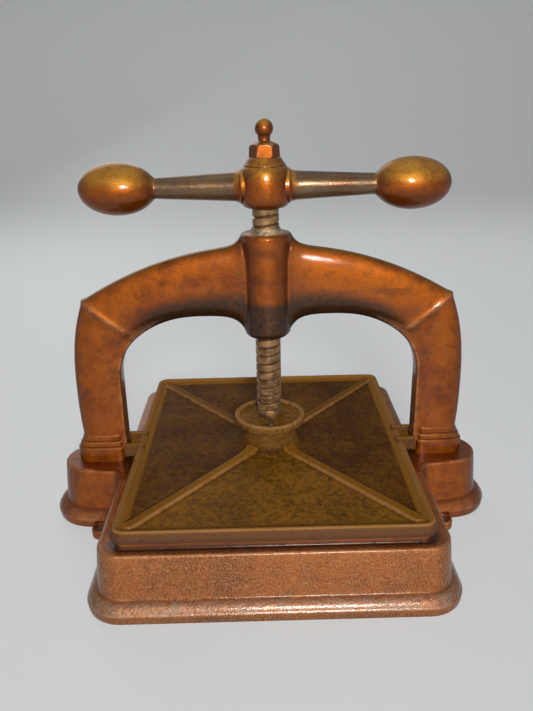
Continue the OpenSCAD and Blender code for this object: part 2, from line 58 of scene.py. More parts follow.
# Sizes shared with the solids, in millimetres
BASE_HX, BASE_HY, BASE_CORNER, BASE_WALL = 141.5, 160.0, 19.0, 9.0
LEDGE_Z, BED_Z, BED_UNDER_Z = 56.5, 63.0, 52.0
EAR_R, EAR_FLARE, EAR_X, EAR_SEAT_Z = 27.0, 9.5, 174.0, 30.5
LUG_X, LUG_Y, LUG_R, LUG_HOLE, LUG_H = 162.0, 51.0, 8.8, 5.8, 9.0
RIB_HALF, RIB_FOOT_Z, RIB_END = 4.0, 12.0, 9.5
LEG_IN, LEG_OUT, LEG_FOOT_Z, ARM_HALF, GUIDE_HALF = 138.5, 182.5, 59.5, 10.6, 9.25
CROWN_Z, HAUNCH_X, HAUNCH_Z, UNDER_Z, SPRING_Z = 264.0, 168.0, 216.5, 199.5, 140.0
INNER_FLAT_X, INNER_POWER, ARM_POWER = 59.97, 2.25, 2.6
MITRE_Z = SPRING_Z + (UNDER_Z - SPRING_Z) * 0.69
BOSS_TOP, BOSS_TOP_R, BOSS_BOTTOM, BOSS_BOTTOM_R = 274.4, 22.5, 181.0, 20.8
FOOT_X0, FOOT_X1, FOOT_HALF, FOOT_H = 141.1, 187.4, 12.2, 29.5
PLATEN_HX, PLATEN_HY, PLATEN_Z, RIM_Z, RIM_WIDTH, PANEL_Z = 130.5, 155.5, 63.5, 73.5, 13.0, 69.5
CUP_Z, CUP_R, NECK_R, RECESS_R, RECESS_Z, SOCKET_R = 100.0, 33.9, 24.3, 28.6, 93.4, 14.2
KEEPER_Z, KEEPER_SCREW_Y, KEEPER_HEAD_R = 97.4, 20.5, 3.8
SCREW_R, SHOULDER_Z, THREAD_FOOT_Z = 11.7, 296.5, 101.4
BAR_Z, HUB_R, HUB_H, BALL_X, BALL_HALF, BALL_R = 314.7, 22.7, 35.0, 126.5, 33.5, 22.2
COLLAR_Z, NUT_Z, NUT_H, NUT_AF, FINIAL_Z, FINIAL_R = 331.5, 338.5, 13.0, 23.6, 361.7, 7.8

# Faces of two joined skins that would lie in one plane are kept this far apart, in millimetres
EAR_LIFT, EAR_FOOT_Z, LUG_FOOT_Z, RIB_LIFT = 0.03, 0.04, 0.08, 0.1

# The camera: metres from the origin, degrees of yaw, pitch and roll, and a focal length in pixels of the picture
CAMERA_PLACE, CAMERA_TURN = (-0.00672, -0.60025, 0.39008), (0.470, 21.065, -1.217)
FOCAL_PIXELS, PICTURE_PIXELS, SENSOR_MM = 685.0, 711.0, 36.0

# The floor's sweep in metres: half width, front edge, start and radius of the bend, and top of the wall
SWEEP_HALF, SWEEP_FRONT, BEND_Y, BEND_R, WALL_TOP = 15.0, -15.0, 0.9, 0.5, 12.0

# Lamps: name, place and target in metres, width in metres, share of the key lamp's power, and spread in degrees
LAMPS = (
    ("key", (0.15, -1.55, 0.76), (0.0, 0.0, 0.15), 0.36, 1.0, 80.0),
    ("overhead", (0.1, 0.1, 1.3), (0.0, 0.0, 0.2), 0.9, 0.13, 180.0),
    ("rear", (-0.5, 0.95, 0.8), (0.0, 0.0, 0.15), 1.1, 0.65, 180.0),
)
DAYLIGHT = (0.97, 0.99, 1.0)
SEEN_RAYS = ("Is Camera Ray", "Is Glossy Ray", "Is Transmission Ray")

# Kinds of property
Length = partial(FloatProperty, unit="LENGTH")
Tone = partial(FloatVectorProperty, subtype="COLOR")


class PressSizes(bpy.types.PropertyGroup):
    """Sizes of the visible detail."""

    thread_lead: Length(
        name="Thread lead", description="Rise of the screw in one turn", default=0.008, min=0.004, max=0.02
    )
    thread_depth: Length(
        name="Thread depth", description="Depth of the groove between two crests", default=0.0018, min=0.0005, max=0.003
    )
    mitre_ridge: Length(
        name="Mitre ridge", description="Rise of the ridge on each haunch", default=0.001, min=0.0, max=0.002
    )
    rib_width: Length(
        name="Rib width", description="Width of a platen rib over its sloped sides", default=0.0118, min=0.008, max=0.02
    )
    cast_grain: Length(
        name="Cast grain", description="Depth of the grain of the castings", default=0.0005, min=0.0, max=0.002
    )


class PressColours(bpy.types.PropertyGroup):
    """Colours of the finishes."""

    copper: Tone(name="Copper lacquer", description="Lacquer where it is thick and clean", default=(0.38, 0.088, 0.001))
    red_brown: Tone(name="Red-brown lacquer", description="Lacquer in its darker patches", default=(0.21, 0.041, 0.001))
    # The dark tone stands for dirt and stains, and also for painted shade in hollows and creases and under other parts.
    soot_and_shade: Tone(name="Dirt", description="Dirt and worn lacquer in the hollows", default=(0.036, 0.019, 0.010))
    # Colour of faces that look up: part olive tarnish, part painted reflection.
    olive_and_reflection: Tone(name="Olive tarnish", description="Tarnish on faces that look up", default=(0.27, 0.125, 0.012))
    # The pale tone stands for worn edges, and also for painted highlights along edges and painted sheen in grains.
    worn: Tone(name="Worn edge", description="Rubbed edges of the castings", default=(0.52, 0.27, 0.12))
    # Pale grey of the bead's chips, which also stand for painted highlights along the bead.
    chip_and_highlight: Tone(
        name="Bare chip", description="Grey metal where the bead has lost its lacquer", default=(0.35, 0.26, 0.20)
    )
    panel: Tone(name="Platen panel", description="Dull finish of the sunk panels", default=(0.33, 0.14, 0.016))
    panel_dark: Tone(
        name="Panel mottle", description="Darker mottling of the sunk panels", default=(0.145, 0.066, 0.008)
    )
    rib: Tone(name="Platen rib", description="Golden brown of the ribs and the rim", default=(0.27, 0.108, 0.008))
    rim: Tone(
        name="Platen side", description="Rubbed brown of the platen's upright sides", default=(0.125, 0.054, 0.027)
    )
    bar: Tone(name="Rubbed bar", description="Dark metal of the handle's bars", default=(0.20, 0.128, 0.064))
    thread: Tone(name="Screw", description="Brown bloom on the screw's crests", default=(0.38, 0.21, 0.088))
    bronze: Tone(name="Bronze bush", description="Worn bronze of the thread bush", default=(0.62, 0.46, 0.27))
    steel: Tone(name="Oiled steel", description="Dark oiled steel of the fasteners", default=(0.20, 0.14, 0.095))


class PressStage(bpy.types.PropertyGroup):
    """Floor and light."""

    floor: Tone(name="Floor", description="Colour of the floor and its sweep", default=(0.71, 0.73, 0.725))
    key_power: FloatProperty(
        name="Key lamp", description="Power of the lamp behind the camera", default=4.2, min=0.0, max=50.0, unit="POWER"
    )
    sky: FloatProperty(
        name="Sky", description="Strength of the even light from all round", default=0.06, min=0.0, max=2.0
    )
    floor_glow: FloatProperty(
        name="Floor glow", description="Pale part of the floor, as seen or mirrored", default=0.4, min=0.0, max=1.0
    )
    backdrop: FloatProperty(
        name="Backdrop", description="Brightness of the surroundings as seen", default=0.42, min=0.0, max=1.0
    )


def smooth_step(x):
    """Rises from 0 to 1 as three x squared less two x cubed, flat outside."""
    x = np.clip(x, 0, 1)
    return x * x * (3 - 2 * x)


def smooth_max(a, b, reach):
    """The larger of two values, rounded over by a parabola of that reach where they cross."""
    h = np.clip(0.5 + 0.5 * (a - b) / reach, 0, 1)
    return b + (a - b) * h + reach * h * (1 - h)


def bell(x, width):
    """One at nought, falling off on both sides over that width."""
    return np.exp(-((x / width) ** 2))


def fade(x, start, reach):
    """One up to a start, then falling off over that reach."""
    return np.exp(-np.maximum(x - start, 0) / reach)


def superellipse(x, power):
    """Height of a quarter superellipse at a share of its width."""
    return np.maximum(1 - x**power, 0) ** (1 / power)


def steps(*pairs):
    """Rows joined end to end: each pair is a stop and the number of rows up to it, after a first start value."""
    start, rows = pairs[0], [np.array([pairs[0]], float)]
    for stop, count in pairs[1:]:
        rows.append(np.linspace(start, stop, count + 1)[1:])
        start = stop
    return np.concatenate(rows)


def grid_quads(rows, cols, loop_rows=False, loop_cols=False):
    """Quads between the neighbours in a grid of points, carried round where it loops."""
    i, j = np.meshgrid(np.arange(rows - (not loop_rows)), np.arange(cols - (not loop_cols)), indexing="ij")
    below, beside = (i + 1) % rows, (j + 1) % cols
    return np.stack((i * cols + j, i * cols + beside, below * cols + beside, below * cols + j), -1).reshape(-1, 4)


def skin(rings, loop=False, **marks):
    """A closed skin through rings of points, with marks from 0 to 1 at the points.

    Open ends are closed by a fan to the ring's middle. The faces are turned to make the enclosed volume positive.
    """
    rows, cols = rings.shape[:2]
    points = rings.reshape(-1, 3)
    quads, fans = grid_quads(rows, cols, loop, True), np.zeros((0, 3), int)
    values = {name: np.broadcast_to(value, (rows, cols)) for name, value in marks.items()}
    flat = {name: value.reshape(-1) for name, value in values.items()}
    if not loop:
        points = np.vstack([points, rings[0].mean(0), rings[-1].mean(0)])
        column, last = np.arange(cols), (rows - 1) * cols
        following = (column + 1) % cols
        first = np.stack([np.full(cols, rows * cols), following, column], -1)
        fans = np.vstack([first, np.stack([np.full(cols, rows * cols + 1), column + last, following + last], -1)])
        ends = {name: [value[0].mean(), value[-1].mean()] for name, value in values.items()}
        flat = {name: np.append(value, ends[name]) for name, value in flat.items()}
    halves = np.vstack([quads[:, :3], quads[:, [0, 2, 3]], fans])
    a, b, c = points[halves[:, 0]], points[halves[:, 1]], points[halves[:, 2]]
    if np.sum(a * np.cross(b, c)) < 0:
        quads, fans = quads[:, ::-1], fans[:, ::-1]
    return {"points": points, "quads": quads, "fans": fans, "marks": flat}


def revolve(profile, count=128, axis="z", middle=(0, 0, 0), **marks):
    """A skin of revolution: each profile row is a radius and a height, carried round the axis in equal angles."""
    angle = np.linspace(0, 2 * np.pi, count, endpoint=False)
    radius, height = profile[:, :1], profile[:, 1:]
    across, up = radius * np.cos(angle), radius * np.sin(angle)
    along = np.broadcast_to(height, across.shape)
    order = {"z": (across, up, along), "x": (along, across, up)}[axis]
    return skin(np.stack(order, -1) + np.array(middle, float), **marks)


def around(parts, count, **marks):
    """A skin round the screw from parts, each the radii by row, or by row and angle, and the rows' heights."""
    angle = np.linspace(0, 2 * np.pi, count, endpoint=False)
    radius = np.concatenate([np.broadcast_to(rows, (len(height), count)) for rows, height in parts])
    z = np.broadcast_to(np.concatenate([height for _, height in parts])[:, None], radius.shape)
    return skin(np.stack([radius * np.cos(angle), radius * np.sin(angle), z], -1), **marks)


def rounded_ring(hx, hy, corner, along=40, around=14, power=1.0):
    """Points on a rounded rectangle, counterclockwise from the right side.

    Each corner is a quarter circle; along a side the points crowd towards its ends by that power.
    """
    turn = np.linspace(0, np.pi / 2, around)
    share = np.linspace(-1, 1, along + 2)[1:-1]
    spread = np.sign(share) * (1 - (1 - np.abs(share)) ** power)
    parts = []
    for quarter in range(4):
        sx, sy = (1, 1, -1, -1)[quarter], (-1, 1, 1, -1)[quarter]
        start = -np.pi / 2 + quarter * np.pi / 2
        x = sx * (hx - corner) + corner * np.cos(start + turn)
        y = sy * (hy - corner) + corner * np.sin(start + turn)
        parts.append(np.stack([x, y], -1))
        if quarter % 2 == 0:
            parts.append(np.stack([np.full(along, sx * hx), sx * spread * (hy - corner)], -1))
        else:
            parts.append(np.stack([-sy * spread * (hx - corner), np.full(along, sy * hy)], -1))
    return np.concatenate(parts)


def ring_at(outline, z):
    """A plan outline lifted to one height, or to a height for each point."""
    return np.concatenate([outline, np.broadcast_to(np.asarray(z, float).reshape(-1, 1), (len(outline), 1))], 1)


def stack(rows, turn=(1, 1, 1), loop=False):
    """A skin through plan outlines, each given with its height and its marks, mirrored by turn."""
    rings = np.array([ring_at(outline, z) for outline, z, _ in rows]) * turn

    def values(name):
        return np.array([np.broadcast_to(own.get(name, 0.0), rings.shape[1]) for _, _, own in rows])

    return skin(rings, loop, **{name: values(name) for name in sorted({name for _, _, own in rows for name in own})})


def rounded_block(low, high, edge, corner):
    """A block with rounded edges: rounded rectangles stacked in z, drawn in along a quarter circle at both ends."""
    low, high = np.array(low, float), np.array(high, float)
    middle, half = (low + high) / 2, (high - low) / 2
    turn = np.linspace(0, np.pi / 2, 6)
    inset = np.concatenate([edge * (1 - np.sin(turn)), np.zeros(3), edge * (1 - np.cos(turn))])
    side = np.linspace(low[2] + edge, high[2] - edge, 5)[1:-1]
    height = np.concatenate([low[2] + edge * (1 - np.cos(turn)), side, high[2] - edge * (1 - np.sin(turn))])

    def ring(x, y, bend, z):
        return ring_at(rounded_ring(x, y, bend, 8, 5), z)

    first, last = (ring(half[0] * 0.3, half[1] * 0.3, min(half[:2]) * 0.2, z) for z in (low[2], high[2]))
    body = [ring(half[0] - o, half[1] - o, max(corner - o, 0.2), z) for o, z in zip(inset, height)]
    return skin(np.array([first, *body, last]) + np.append(middle[:2], 0))


def joined(name, skins, material, body, slot, *nodes):
    """One smooth-shaded object from skins, with the marks as point attributes, riding on a body in place of nodes."""
    offset, quads, fans = 0, [], []
    for part in skins:
        quads.append(part["quads"] + offset)
        fans.append(part["fans"] + offset)
        offset += len(part["points"])
    points = np.concatenate([part["points"] for part in skins]) * MM
    mesh = bpy.data.meshes.new(name)
    mesh.from_pydata(points.tolist(), [], np.concatenate(quads).tolist() + np.concatenate(fans).tolist())
    mesh.shade_smooth()
    for mark in sorted({m for part in skins for m in part["marks"]}):
        values = np.concatenate([part["marks"].get(mark, np.zeros(len(part["points"]))) for part in skins])
        mesh.attributes.new(mark, "FLOAT", "POINT").data.foreach_set("value", values.astype(np.float32))
    mesh.materials.append(material)
    piece = bpy.data.objects.new(name, mesh)
    bpy.context.scene.collection.objects.link(piece)
    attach(piece, body)
    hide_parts(*nodes)


def over_line(x):
    """Upper line of an arm: a power curve from the crown to the haunch, lifted by a fillet to the boss top."""
    arm = CROWN_Z - (CROWN_Z - HAUNCH_Z) * (x / HAUNCH_X) ** 2.2 + 9.5 * fade(x, BOSS_TOP_R, 5)
    edge = 272.93 + (BOSS_TOP - 272.93) * np.sqrt(1 - np.clip((x - 21.2) / 1.3, 0, 1) ** 2)
    return np.where(x < BOSS_TOP_R, edge, arm)


def under_line(x):
    """Lower line of an arm: a superellipse quarter from the leg, then a power curve with a fillet to the boss end."""
    quarter = np.clip((x - INNER_FLAT_X) / (LEG_IN - INNER_FLAT_X), 0, 1)
    outer = SPRING_Z + (UNDER_Z - SPRING_Z) * superellipse(quarter, INNER_POWER)
    near = np.clip((INNER_FLAT_X - x) / INNER_FLAT_X, 0, 1)
    inner = UNDER_Z - 8 * near**2.4 - 12 * fade(x, 20.5, 6)
    edge = 185.2 - (185.2 - BOSS_BOTTOM) * np.sqrt(1 - np.clip((x - 18.1) / 2.7, 0, 1) ** 2)
    return np.where(x < BOSS_BOTTOM_R, edge, np.where(x < INNER_FLAT_X, inner, outer))


def inside_line(z):
    """Inner line of a leg: straight, then the same superellipse quarter read by height."""
    rise = np.clip((z - SPRING_Z) / (UNDER_Z - SPRING_Z), 0, 1)
    return INNER_FLAT_X + (LEG_IN - INNER_FLAT_X) * superellipse(rise, INNER_POWER)


def outside_line(z):
    """Outer line of a leg: drawn in a little to the foot by a square, and to the haunch by a power curve."""
    foot = 5 * np.clip((120 - z) / 63.5, 0, 1) ** 2
    return LEG_OUT - foot - (LEG_OUT - HAUNCH_X) * np.clip((z - 120) / (HAUNCH_Z - 120), 0, 1) ** 2.8


def arch_skin(ridge):
    """The arch as one swept skin, from foot to foot.

    A station has an inner and an outer point. Between them the half depth is a superellipse, joined by rounded
    maxima to a flat inner face with a rounded edge and to the boss, a cylinder whose radius changes with height.
    Near the mitre line a narrow bell-shaped ridge is added.
    """
    mitre_x = inside_line(np.array(MITRE_Z))
    arm_in = steps(0.0, (17.5, 14), (34.0, 36), (108.0, 52), (float(mitre_x), 26))
    arm_out = arm_in + (HAUNCH_X - mitre_x) * np.clip((arm_in - 26) / (mitre_x - 26), 0, 1)
    fall = np.linspace(0, 1, 96)[1:] ** 1.35
    leg_in, leg_out = (top + (LEG_FOOT_Z - top) * fall for top in (MITRE_Z, HAUNCH_Z))

    def path(arm_x, arm_z, leg_x, leg_z):
        return np.concatenate([np.stack([arm_x, arm_z], -1), np.stack([leg_x, leg_z], -1)])

    inner = path(arm_in, under_line(arm_in), inside_line(leg_in), leg_in)
    outer = path(arm_out, over_line(arm_out), outside_line(leg_out), leg_out)
    away = np.concatenate([HAUNCH_X - arm_out, HAUNCH_Z - leg_out])
    swell = ridge * bell(away, 3.0)[:, None]
    outer = outer + swell * 0.7
    arm_share = np.concatenate([1 - arm_in / mitre_x, np.zeros(len(leg_in))])[:, None]
    leg_share = np.concatenate([np.zeros(len(arm_in)), fall])[:, None]
    flat = GUIDE_HALF - 1.0 * smooth_step(1 - leg_share * 3) - 3.5 * arm_share
    edge = 1.5 + 4.5 * smooth_step(arm_share * 3)
    t = (1 - np.cos(np.linspace(0, np.pi, 46))) / 2
    place = inner[:, None] + (outer - inner)[:, None] * t[None, :, None]
    width = np.linalg.norm(outer - inner, axis=1)[:, None]
    depth = (ARM_HALF + swell) * superellipse(np.abs(2 * t - 1), ARM_POWER)
    into = np.minimum(t * width, edge)
    face = flat - edge + np.sqrt(np.maximum(edge**2 - (edge - into) ** 2, 0))
    depth = smooth_max(depth, np.where(t < 0.5, face, -50), 0.8)
    level = [BOSS_BOTTOM, 182.6, 185.5, 195, 254.5, 266.5, 272.5, BOSS_TOP]
    radius = np.interp(place[..., 1], level, [18.1, 19.9, 20.8, 20.8, 20.9, 22.2, 22.4, 21.2])
    past = place[..., 0] - radius
    boss = np.where(past < 0, np.sqrt(np.maximum(radius**2 - place[..., 0] ** 2, 0)), -3 * past)
    depth = np.maximum(smooth_max(depth, boss, 2.6), 0.15)
    rear = np.stack([place[..., 0], depth, place[..., 1]], -1)
    ring = np.concatenate([rear, rear[:, ::-1] * (1, -1, 1)], 1)
    # Pale lines along the inner edge of the legs and along the mitre ridge: part wear, part painted highlight.
    rubbed = bell(t * width - 1.2, 1.6) * (1 - smooth_step(arm_share * 4))
    rubbed = np.maximum(rubbed, bell(away, 2.2)[:, None] * 0.9)
    along = place[..., 0]
    # Darker towards the arms' lower edge, near the boss and on the boss's lower part: part grime, part painted shade.
    grime_and_shade = smooth_step((0.56 + 0.2 * np.exp(-along / 25) - t) / 0.42) * smooth_step((145 - along) / 45)
    grime_and_shade = np.maximum(grime_and_shade, 0.5 * fade(along, 21, 24))
    grime_and_shade = np.where(along < 19.5, smooth_step((221 - place[..., 1]) / 13), grime_and_shade)

    def both(mark):
        mark = np.concatenate([mark, mark[:, ::-1]], 1)
        return np.concatenate([mark[:0:-1], mark])

    whole = np.concatenate([ring[:0:-1] * (-1, 1, 1), ring])
    return skin(whole, rubbed=both(rubbed), groove=both(grime_and_shade))


def foot_skin(side):
    """A foot: rings stacked in z, square within and round without as two superellipses.

    The bands of its moulding draw the rings in, and a lean draws in the outer side. The steps are rounded.
    """
    level = np.linspace(0, 1, 170)
    rows = np.array([
        (0, 0, 0), (0.45, 0, 0), (0.475, -0.15, 0.02), (0.49, -0.8, 0.07), (0.505, -1.3, 0.12), (0.53, -0.85, 0.14),
        (0.56, -0.6, 0.2), (0.66, -0.6, 0.37), (0.685, -0.8, 0.42), (0.7, -1.4, 0.46), (0.715, -1.9, 0.5),
        (0.74, -1.4, 0.53), (0.77, -1.15, 0.58), (0.9, -1.15, 0.82), (0.93, -1.4, 0.88), (0.95, -2, 0.92), (1, -2.6, 1),
    ])
    grow, lean = np.interp(level, rows[:, 0], rows[:, 1]), np.interp(level, rows[:, 0], rows[:, 2])[:, None]
    even = np.convolve(np.pad(grow, 6, mode="edge"), np.ones(13) / 13, mode="valid")
    grow, relief = grow[:, None], (grow - even)[:, None] * 1.5
    angle = np.linspace(0, 2 * np.pi, 140, endpoint=False)
    c, s = np.cos(angle), np.sin(angle)
    power = np.where(c > 0, 0.77, 0.36)
    outer = FOOT_X1 - lean * (FOOT_X1 - LEG_OUT + 1.2)
    x = (FOOT_X0 + outer) / 2 + np.sign(c) * np.abs(c) ** power * ((outer - FOOT_X0) / 2 + grow)
    y = np.sign(s) * np.abs(s) ** power * (FOOT_HALF + grow)
    z = np.broadcast_to(LEDGE_Z + FOOT_H * level[:, None], x.shape)
    # Painted shade in the moulding's grooves and painted highlight on its bands, by how far each ring stands in or out.
    return skin(np.stack([side * x, y, z], -1), groove=np.clip(-relief, 0, 1), rubbed=np.clip(relief, 0, 1))


def bead_marks(z):
    """Marks on the base by height: dirt and painted shade in the hollow over the bead and below it, and chips and
    painted highlights over the bead's shoulder.
    """
    hollow = 0.55 * bell(z - 17.4, 1.1)
    dirt_and_shade = np.maximum(hollow, 0.28 * smooth_step((16.5 - z) / 2))
    return dirt_and_shade, smooth_step((17.0 - z) / 2) * smooth_step((z - 7.4) / 1.6)


def plinth_steps():
    """Profile of the base from its top edge to the table: height, reach past the wall's top edge, and pale share, part
    wear and part painted highlight.
    """
    top = [(0, -4.0, 0.0), (0, -2.6, 0.1), (0.15, -1.5, 0.7), (0.6, -0.6, 1.0), (1.3, -0.05, 0.7), (2.2, 0.2, 0.15)]
    rows = [(LEDGE_Z - drop, reach, rub_and_highlight) for drop, reach, rub_and_highlight in top] + [
        (LEDGE_Z - 4, 0.3, 0.0), (48, 0.9, 0.0), (40, 1.5, 0.0), (32, 2.1, 0.0), (25, 2.6, 0.0), (20.5, 2.95, 0.0),
        (18.4, 3.2, 0.0), (17.3, 3.7, 0.0), (16.7, 4.6, 0.0), (16.2, 5.6, 0.1), (15.2, 7.4, 0.2), (13.8, 9.0, 0.25),
        (12.2, 10.3, 0.2), (10.6, 11.2, 0.2), (9.7, 11.6, 0.3), (9.2, 11.95, 0.8), (8.8, 12.3, 1.0), (8.2, 12.5, 0.5),
        (7.4, 12.6, 0.1), (5, 12.4, 0.0), (3, 12.15, 0.0), (1.5, 11.9, 0.1), (0.6, 11.5, 0.2), (0.12, 10.9, 0.2),
        (0, 10.0, 0.0),
    ]
    return np.array(rows)


def base_shell():
    """The hollow base: rounded rectangles from the bed's middle over the ledge, down the wall, and back up inside."""
    bed_x, bed_y, hollow_x, hollow_y = PLATEN_HX - 4, PLATEN_HY - 4, BASE_HX - BASE_WALL, BASE_HY - BASE_WALL
    rows = [(rounded_ring(bed_x * share, bed_y * share, 8 * share), BED_Z, {}) for share in (0.03, 0.3, 0.6, 0.9)]
    # Painted shade: the bed's edge and the ledge round it are darkened where the platen's edge shades them.
    for inset, z in ((2.0, BED_Z), (1.0, BED_Z), (0.3, BED_Z - 0.3), (0, BED_Z - 1)):
        rows.append((rounded_ring(bed_x - inset, bed_y - inset, 8 - inset), z, {"groove": 0.2}))
    for inset, rise in ((0, 1.2), (-0.4, 0.3), (-1.2, 0)):
        rows.append((rounded_ring(bed_x - inset, bed_y - inset, 8 - inset), LEDGE_Z + rise, {"groove": 0.9}))
    for z, out, rub_and_highlight in plinth_steps():
        dirt_and_shade, chips_and_highlights = bead_marks(z)
        marks = {"rubbed": rub_and_highlight, "groove": dirt_and_shade, "flaked": chips_and_highlights, "grainy": 1.0}
        rows.append((rounded_ring(BASE_HX + out, BASE_HY + out, BASE_CORNER + out), z, marks))
    for inset, corner, z in ((-1.0, 4, 0), (0, 3, 1), (0, 3, 26), (0, 3, 50), (0.5, 3, 51.5), (2, 3, BED_UNDER_Z)):
        rows.append((rounded_ring(hollow_x - inset, hollow_y - inset, corner), z, {}))
    for share in (0.6, 0.3, 0.03):
        rows.append((rounded_ring(hollow_x * share, hollow_y * share, 3 * share), BED_UNDER_Z, {}))
    return stack(rows)


def ear_outline(grow, inside, fillet):
    """Plan of the right ear: a round end whose flanks leave it at the flare angle.

    A quarter ellipse, hollow outwards, carries each flank into the base's wall. It is closed on a line of constant x.
    """
    flare, radius, wall = np.radians(EAR_FLARE), EAR_R + grow, max(BASE_HX + grow, inside + 0.1)
    turn = np.linspace(0, np.pi / 2 - flare, 80)
    end = np.stack([EAR_X + radius * np.cos(turn), radius * np.sin(turn)], -1)
    curve = np.linspace(np.pi / 2, 0, 20)
    x = wall + fillet * (1 - np.cos(curve))
    flank = radius * np.cos(flare) + (EAR_X + radius * np.sin(flare) - x) * np.tan(flare)
    hollow = np.stack([x, flank + 1.7 * fillet * (1 - np.sin(curve))], -1)
    share = np.linspace(0, 1, 12)[1:, None]
    run = end[-1] * (1 - share[:-1]) + hollow[0] * share[:-1]
    last = hollow[-1] * (1 - share) + np.array([inside, hollow[-1, 1]]) * share
    closing = last[-1] * np.stack([np.ones(11), np.linspace(1, 0, 12)[1:]], -1)
    upper = np.concatenate([end, run, hollow, last, closing])
    return np.concatenate([upper[:-1], upper[:0:-1] * (1, -1)])


def ear_skin(side):
    """An ear: its plan grown by the base's own profile, hollow from below up to the bolt's seat."""
    middle, centre = np.array([138.0, 0.0]), np.array([166.0, 0.0])
    top, ledge = ear_outline(-4, 127.5, 9), LEDGE_Z + EAR_LIFT
    # Painted shade: the ear's top is darkened where the leg's foot stands over it.
    rows = [(middle + (top - middle) * share, ledge, {"groove": 0.5}) for share in (0.02, 0.4, 0.8)]
    for z, out, rub_and_highlight in plinth_steps():
        dirt_and_shade, chips_and_highlights = bead_marks(z)
        outline = ear_outline(out, 127.5 if z > BED_UNDER_Z else 136.0, 1.5 + 7.5 * smooth_step((z - 15.5) / 4.5))
        height = ledge if z == LEDGE_Z else max(z, EAR_FOOT_Z)
        rows.append((outline, height, {"rubbed": rub_and_highlight, "groove": dirt_and_shade, "flaked": chips_and_highlights * 0.15}))
    for grow, z in ((-8.4, EAR_FOOT_Z), (-9, 0.8), (-9, 15), (-9, 29.5), (-9.6, 30.4), (-12, EAR_SEAT_Z)):
        rows.append((ear_outline(grow, 145.8, 0.01), z, {}))
    rows.append((centre + (rows[-1][0] - centre) * 0.1, EAR_SEAT_Z, {}))
    return stack(rows, (side, 1, 1))


def lug_skin(side, front):
    """A hold-down lug: a tongue with a round end, carried as a ring round its hole, with rounded upper edges."""
    turn = np.linspace(0, np.pi / 2, 24)
    corner = np.stack([LUG_X + LUG_R * np.cos(turn), -(LUG_Y + LUG_R * np.sin(turn))], -1)
    share = np.linspace(0, 1, 20)[:-1, None]

    def run(a, b):
        return np.array(a) * (1 - share) + np.array(b) * share

    root, tip, far = -32, -LUG_Y - LUG_R, LUG_X + LUG_R
    flank, end = run((far, root), (far, -LUG_Y)), run((LUG_X, tip), (BASE_HX, tip))[1:]
    closing = run((BASE_HX, tip), (BASE_HX, root)), run((BASE_HX, root), (far, root))
    outline = np.concatenate([flank, corner, end, *closing])
    hole = np.array([LUG_X, -LUG_Y])
    spoke = outline - hole
    long = np.linalg.norm(spoke, axis=1, keepdims=True)
    rows = []
    # The pale share on the upper edges and round the hole: part wear, part painted highlight.
    over = ((0, 7.4, 0.1), (0.3, 8.3, 0.6), (0.9, 8.8, 0.7), (1.8, LUG_H, 0.2))
    for inset, z, rub_and_highlight in ((1.2, LUG_FOOT_Z, 0), (0.2, 0.6, 0), (0, 2, 0), *over):
        rows.append((hole + spoke * (1 - inset / long), z, {"rubbed": rub_and_highlight}))
    for grow, z, rub_and_highlight in ((1.2, LUG_H, 0.3), (0.5, 8.9, 0.8), (0.1, 8.5, 0.8), (0, 7.5, 0.2), (0, 0.4, 0)):
        rows.append((hole + (LUG_HOLE + grow) * spoke / long, z, {"rubbed": rub_and_highlight}))
    return stack(rows, (side, front, 1), loop=True)


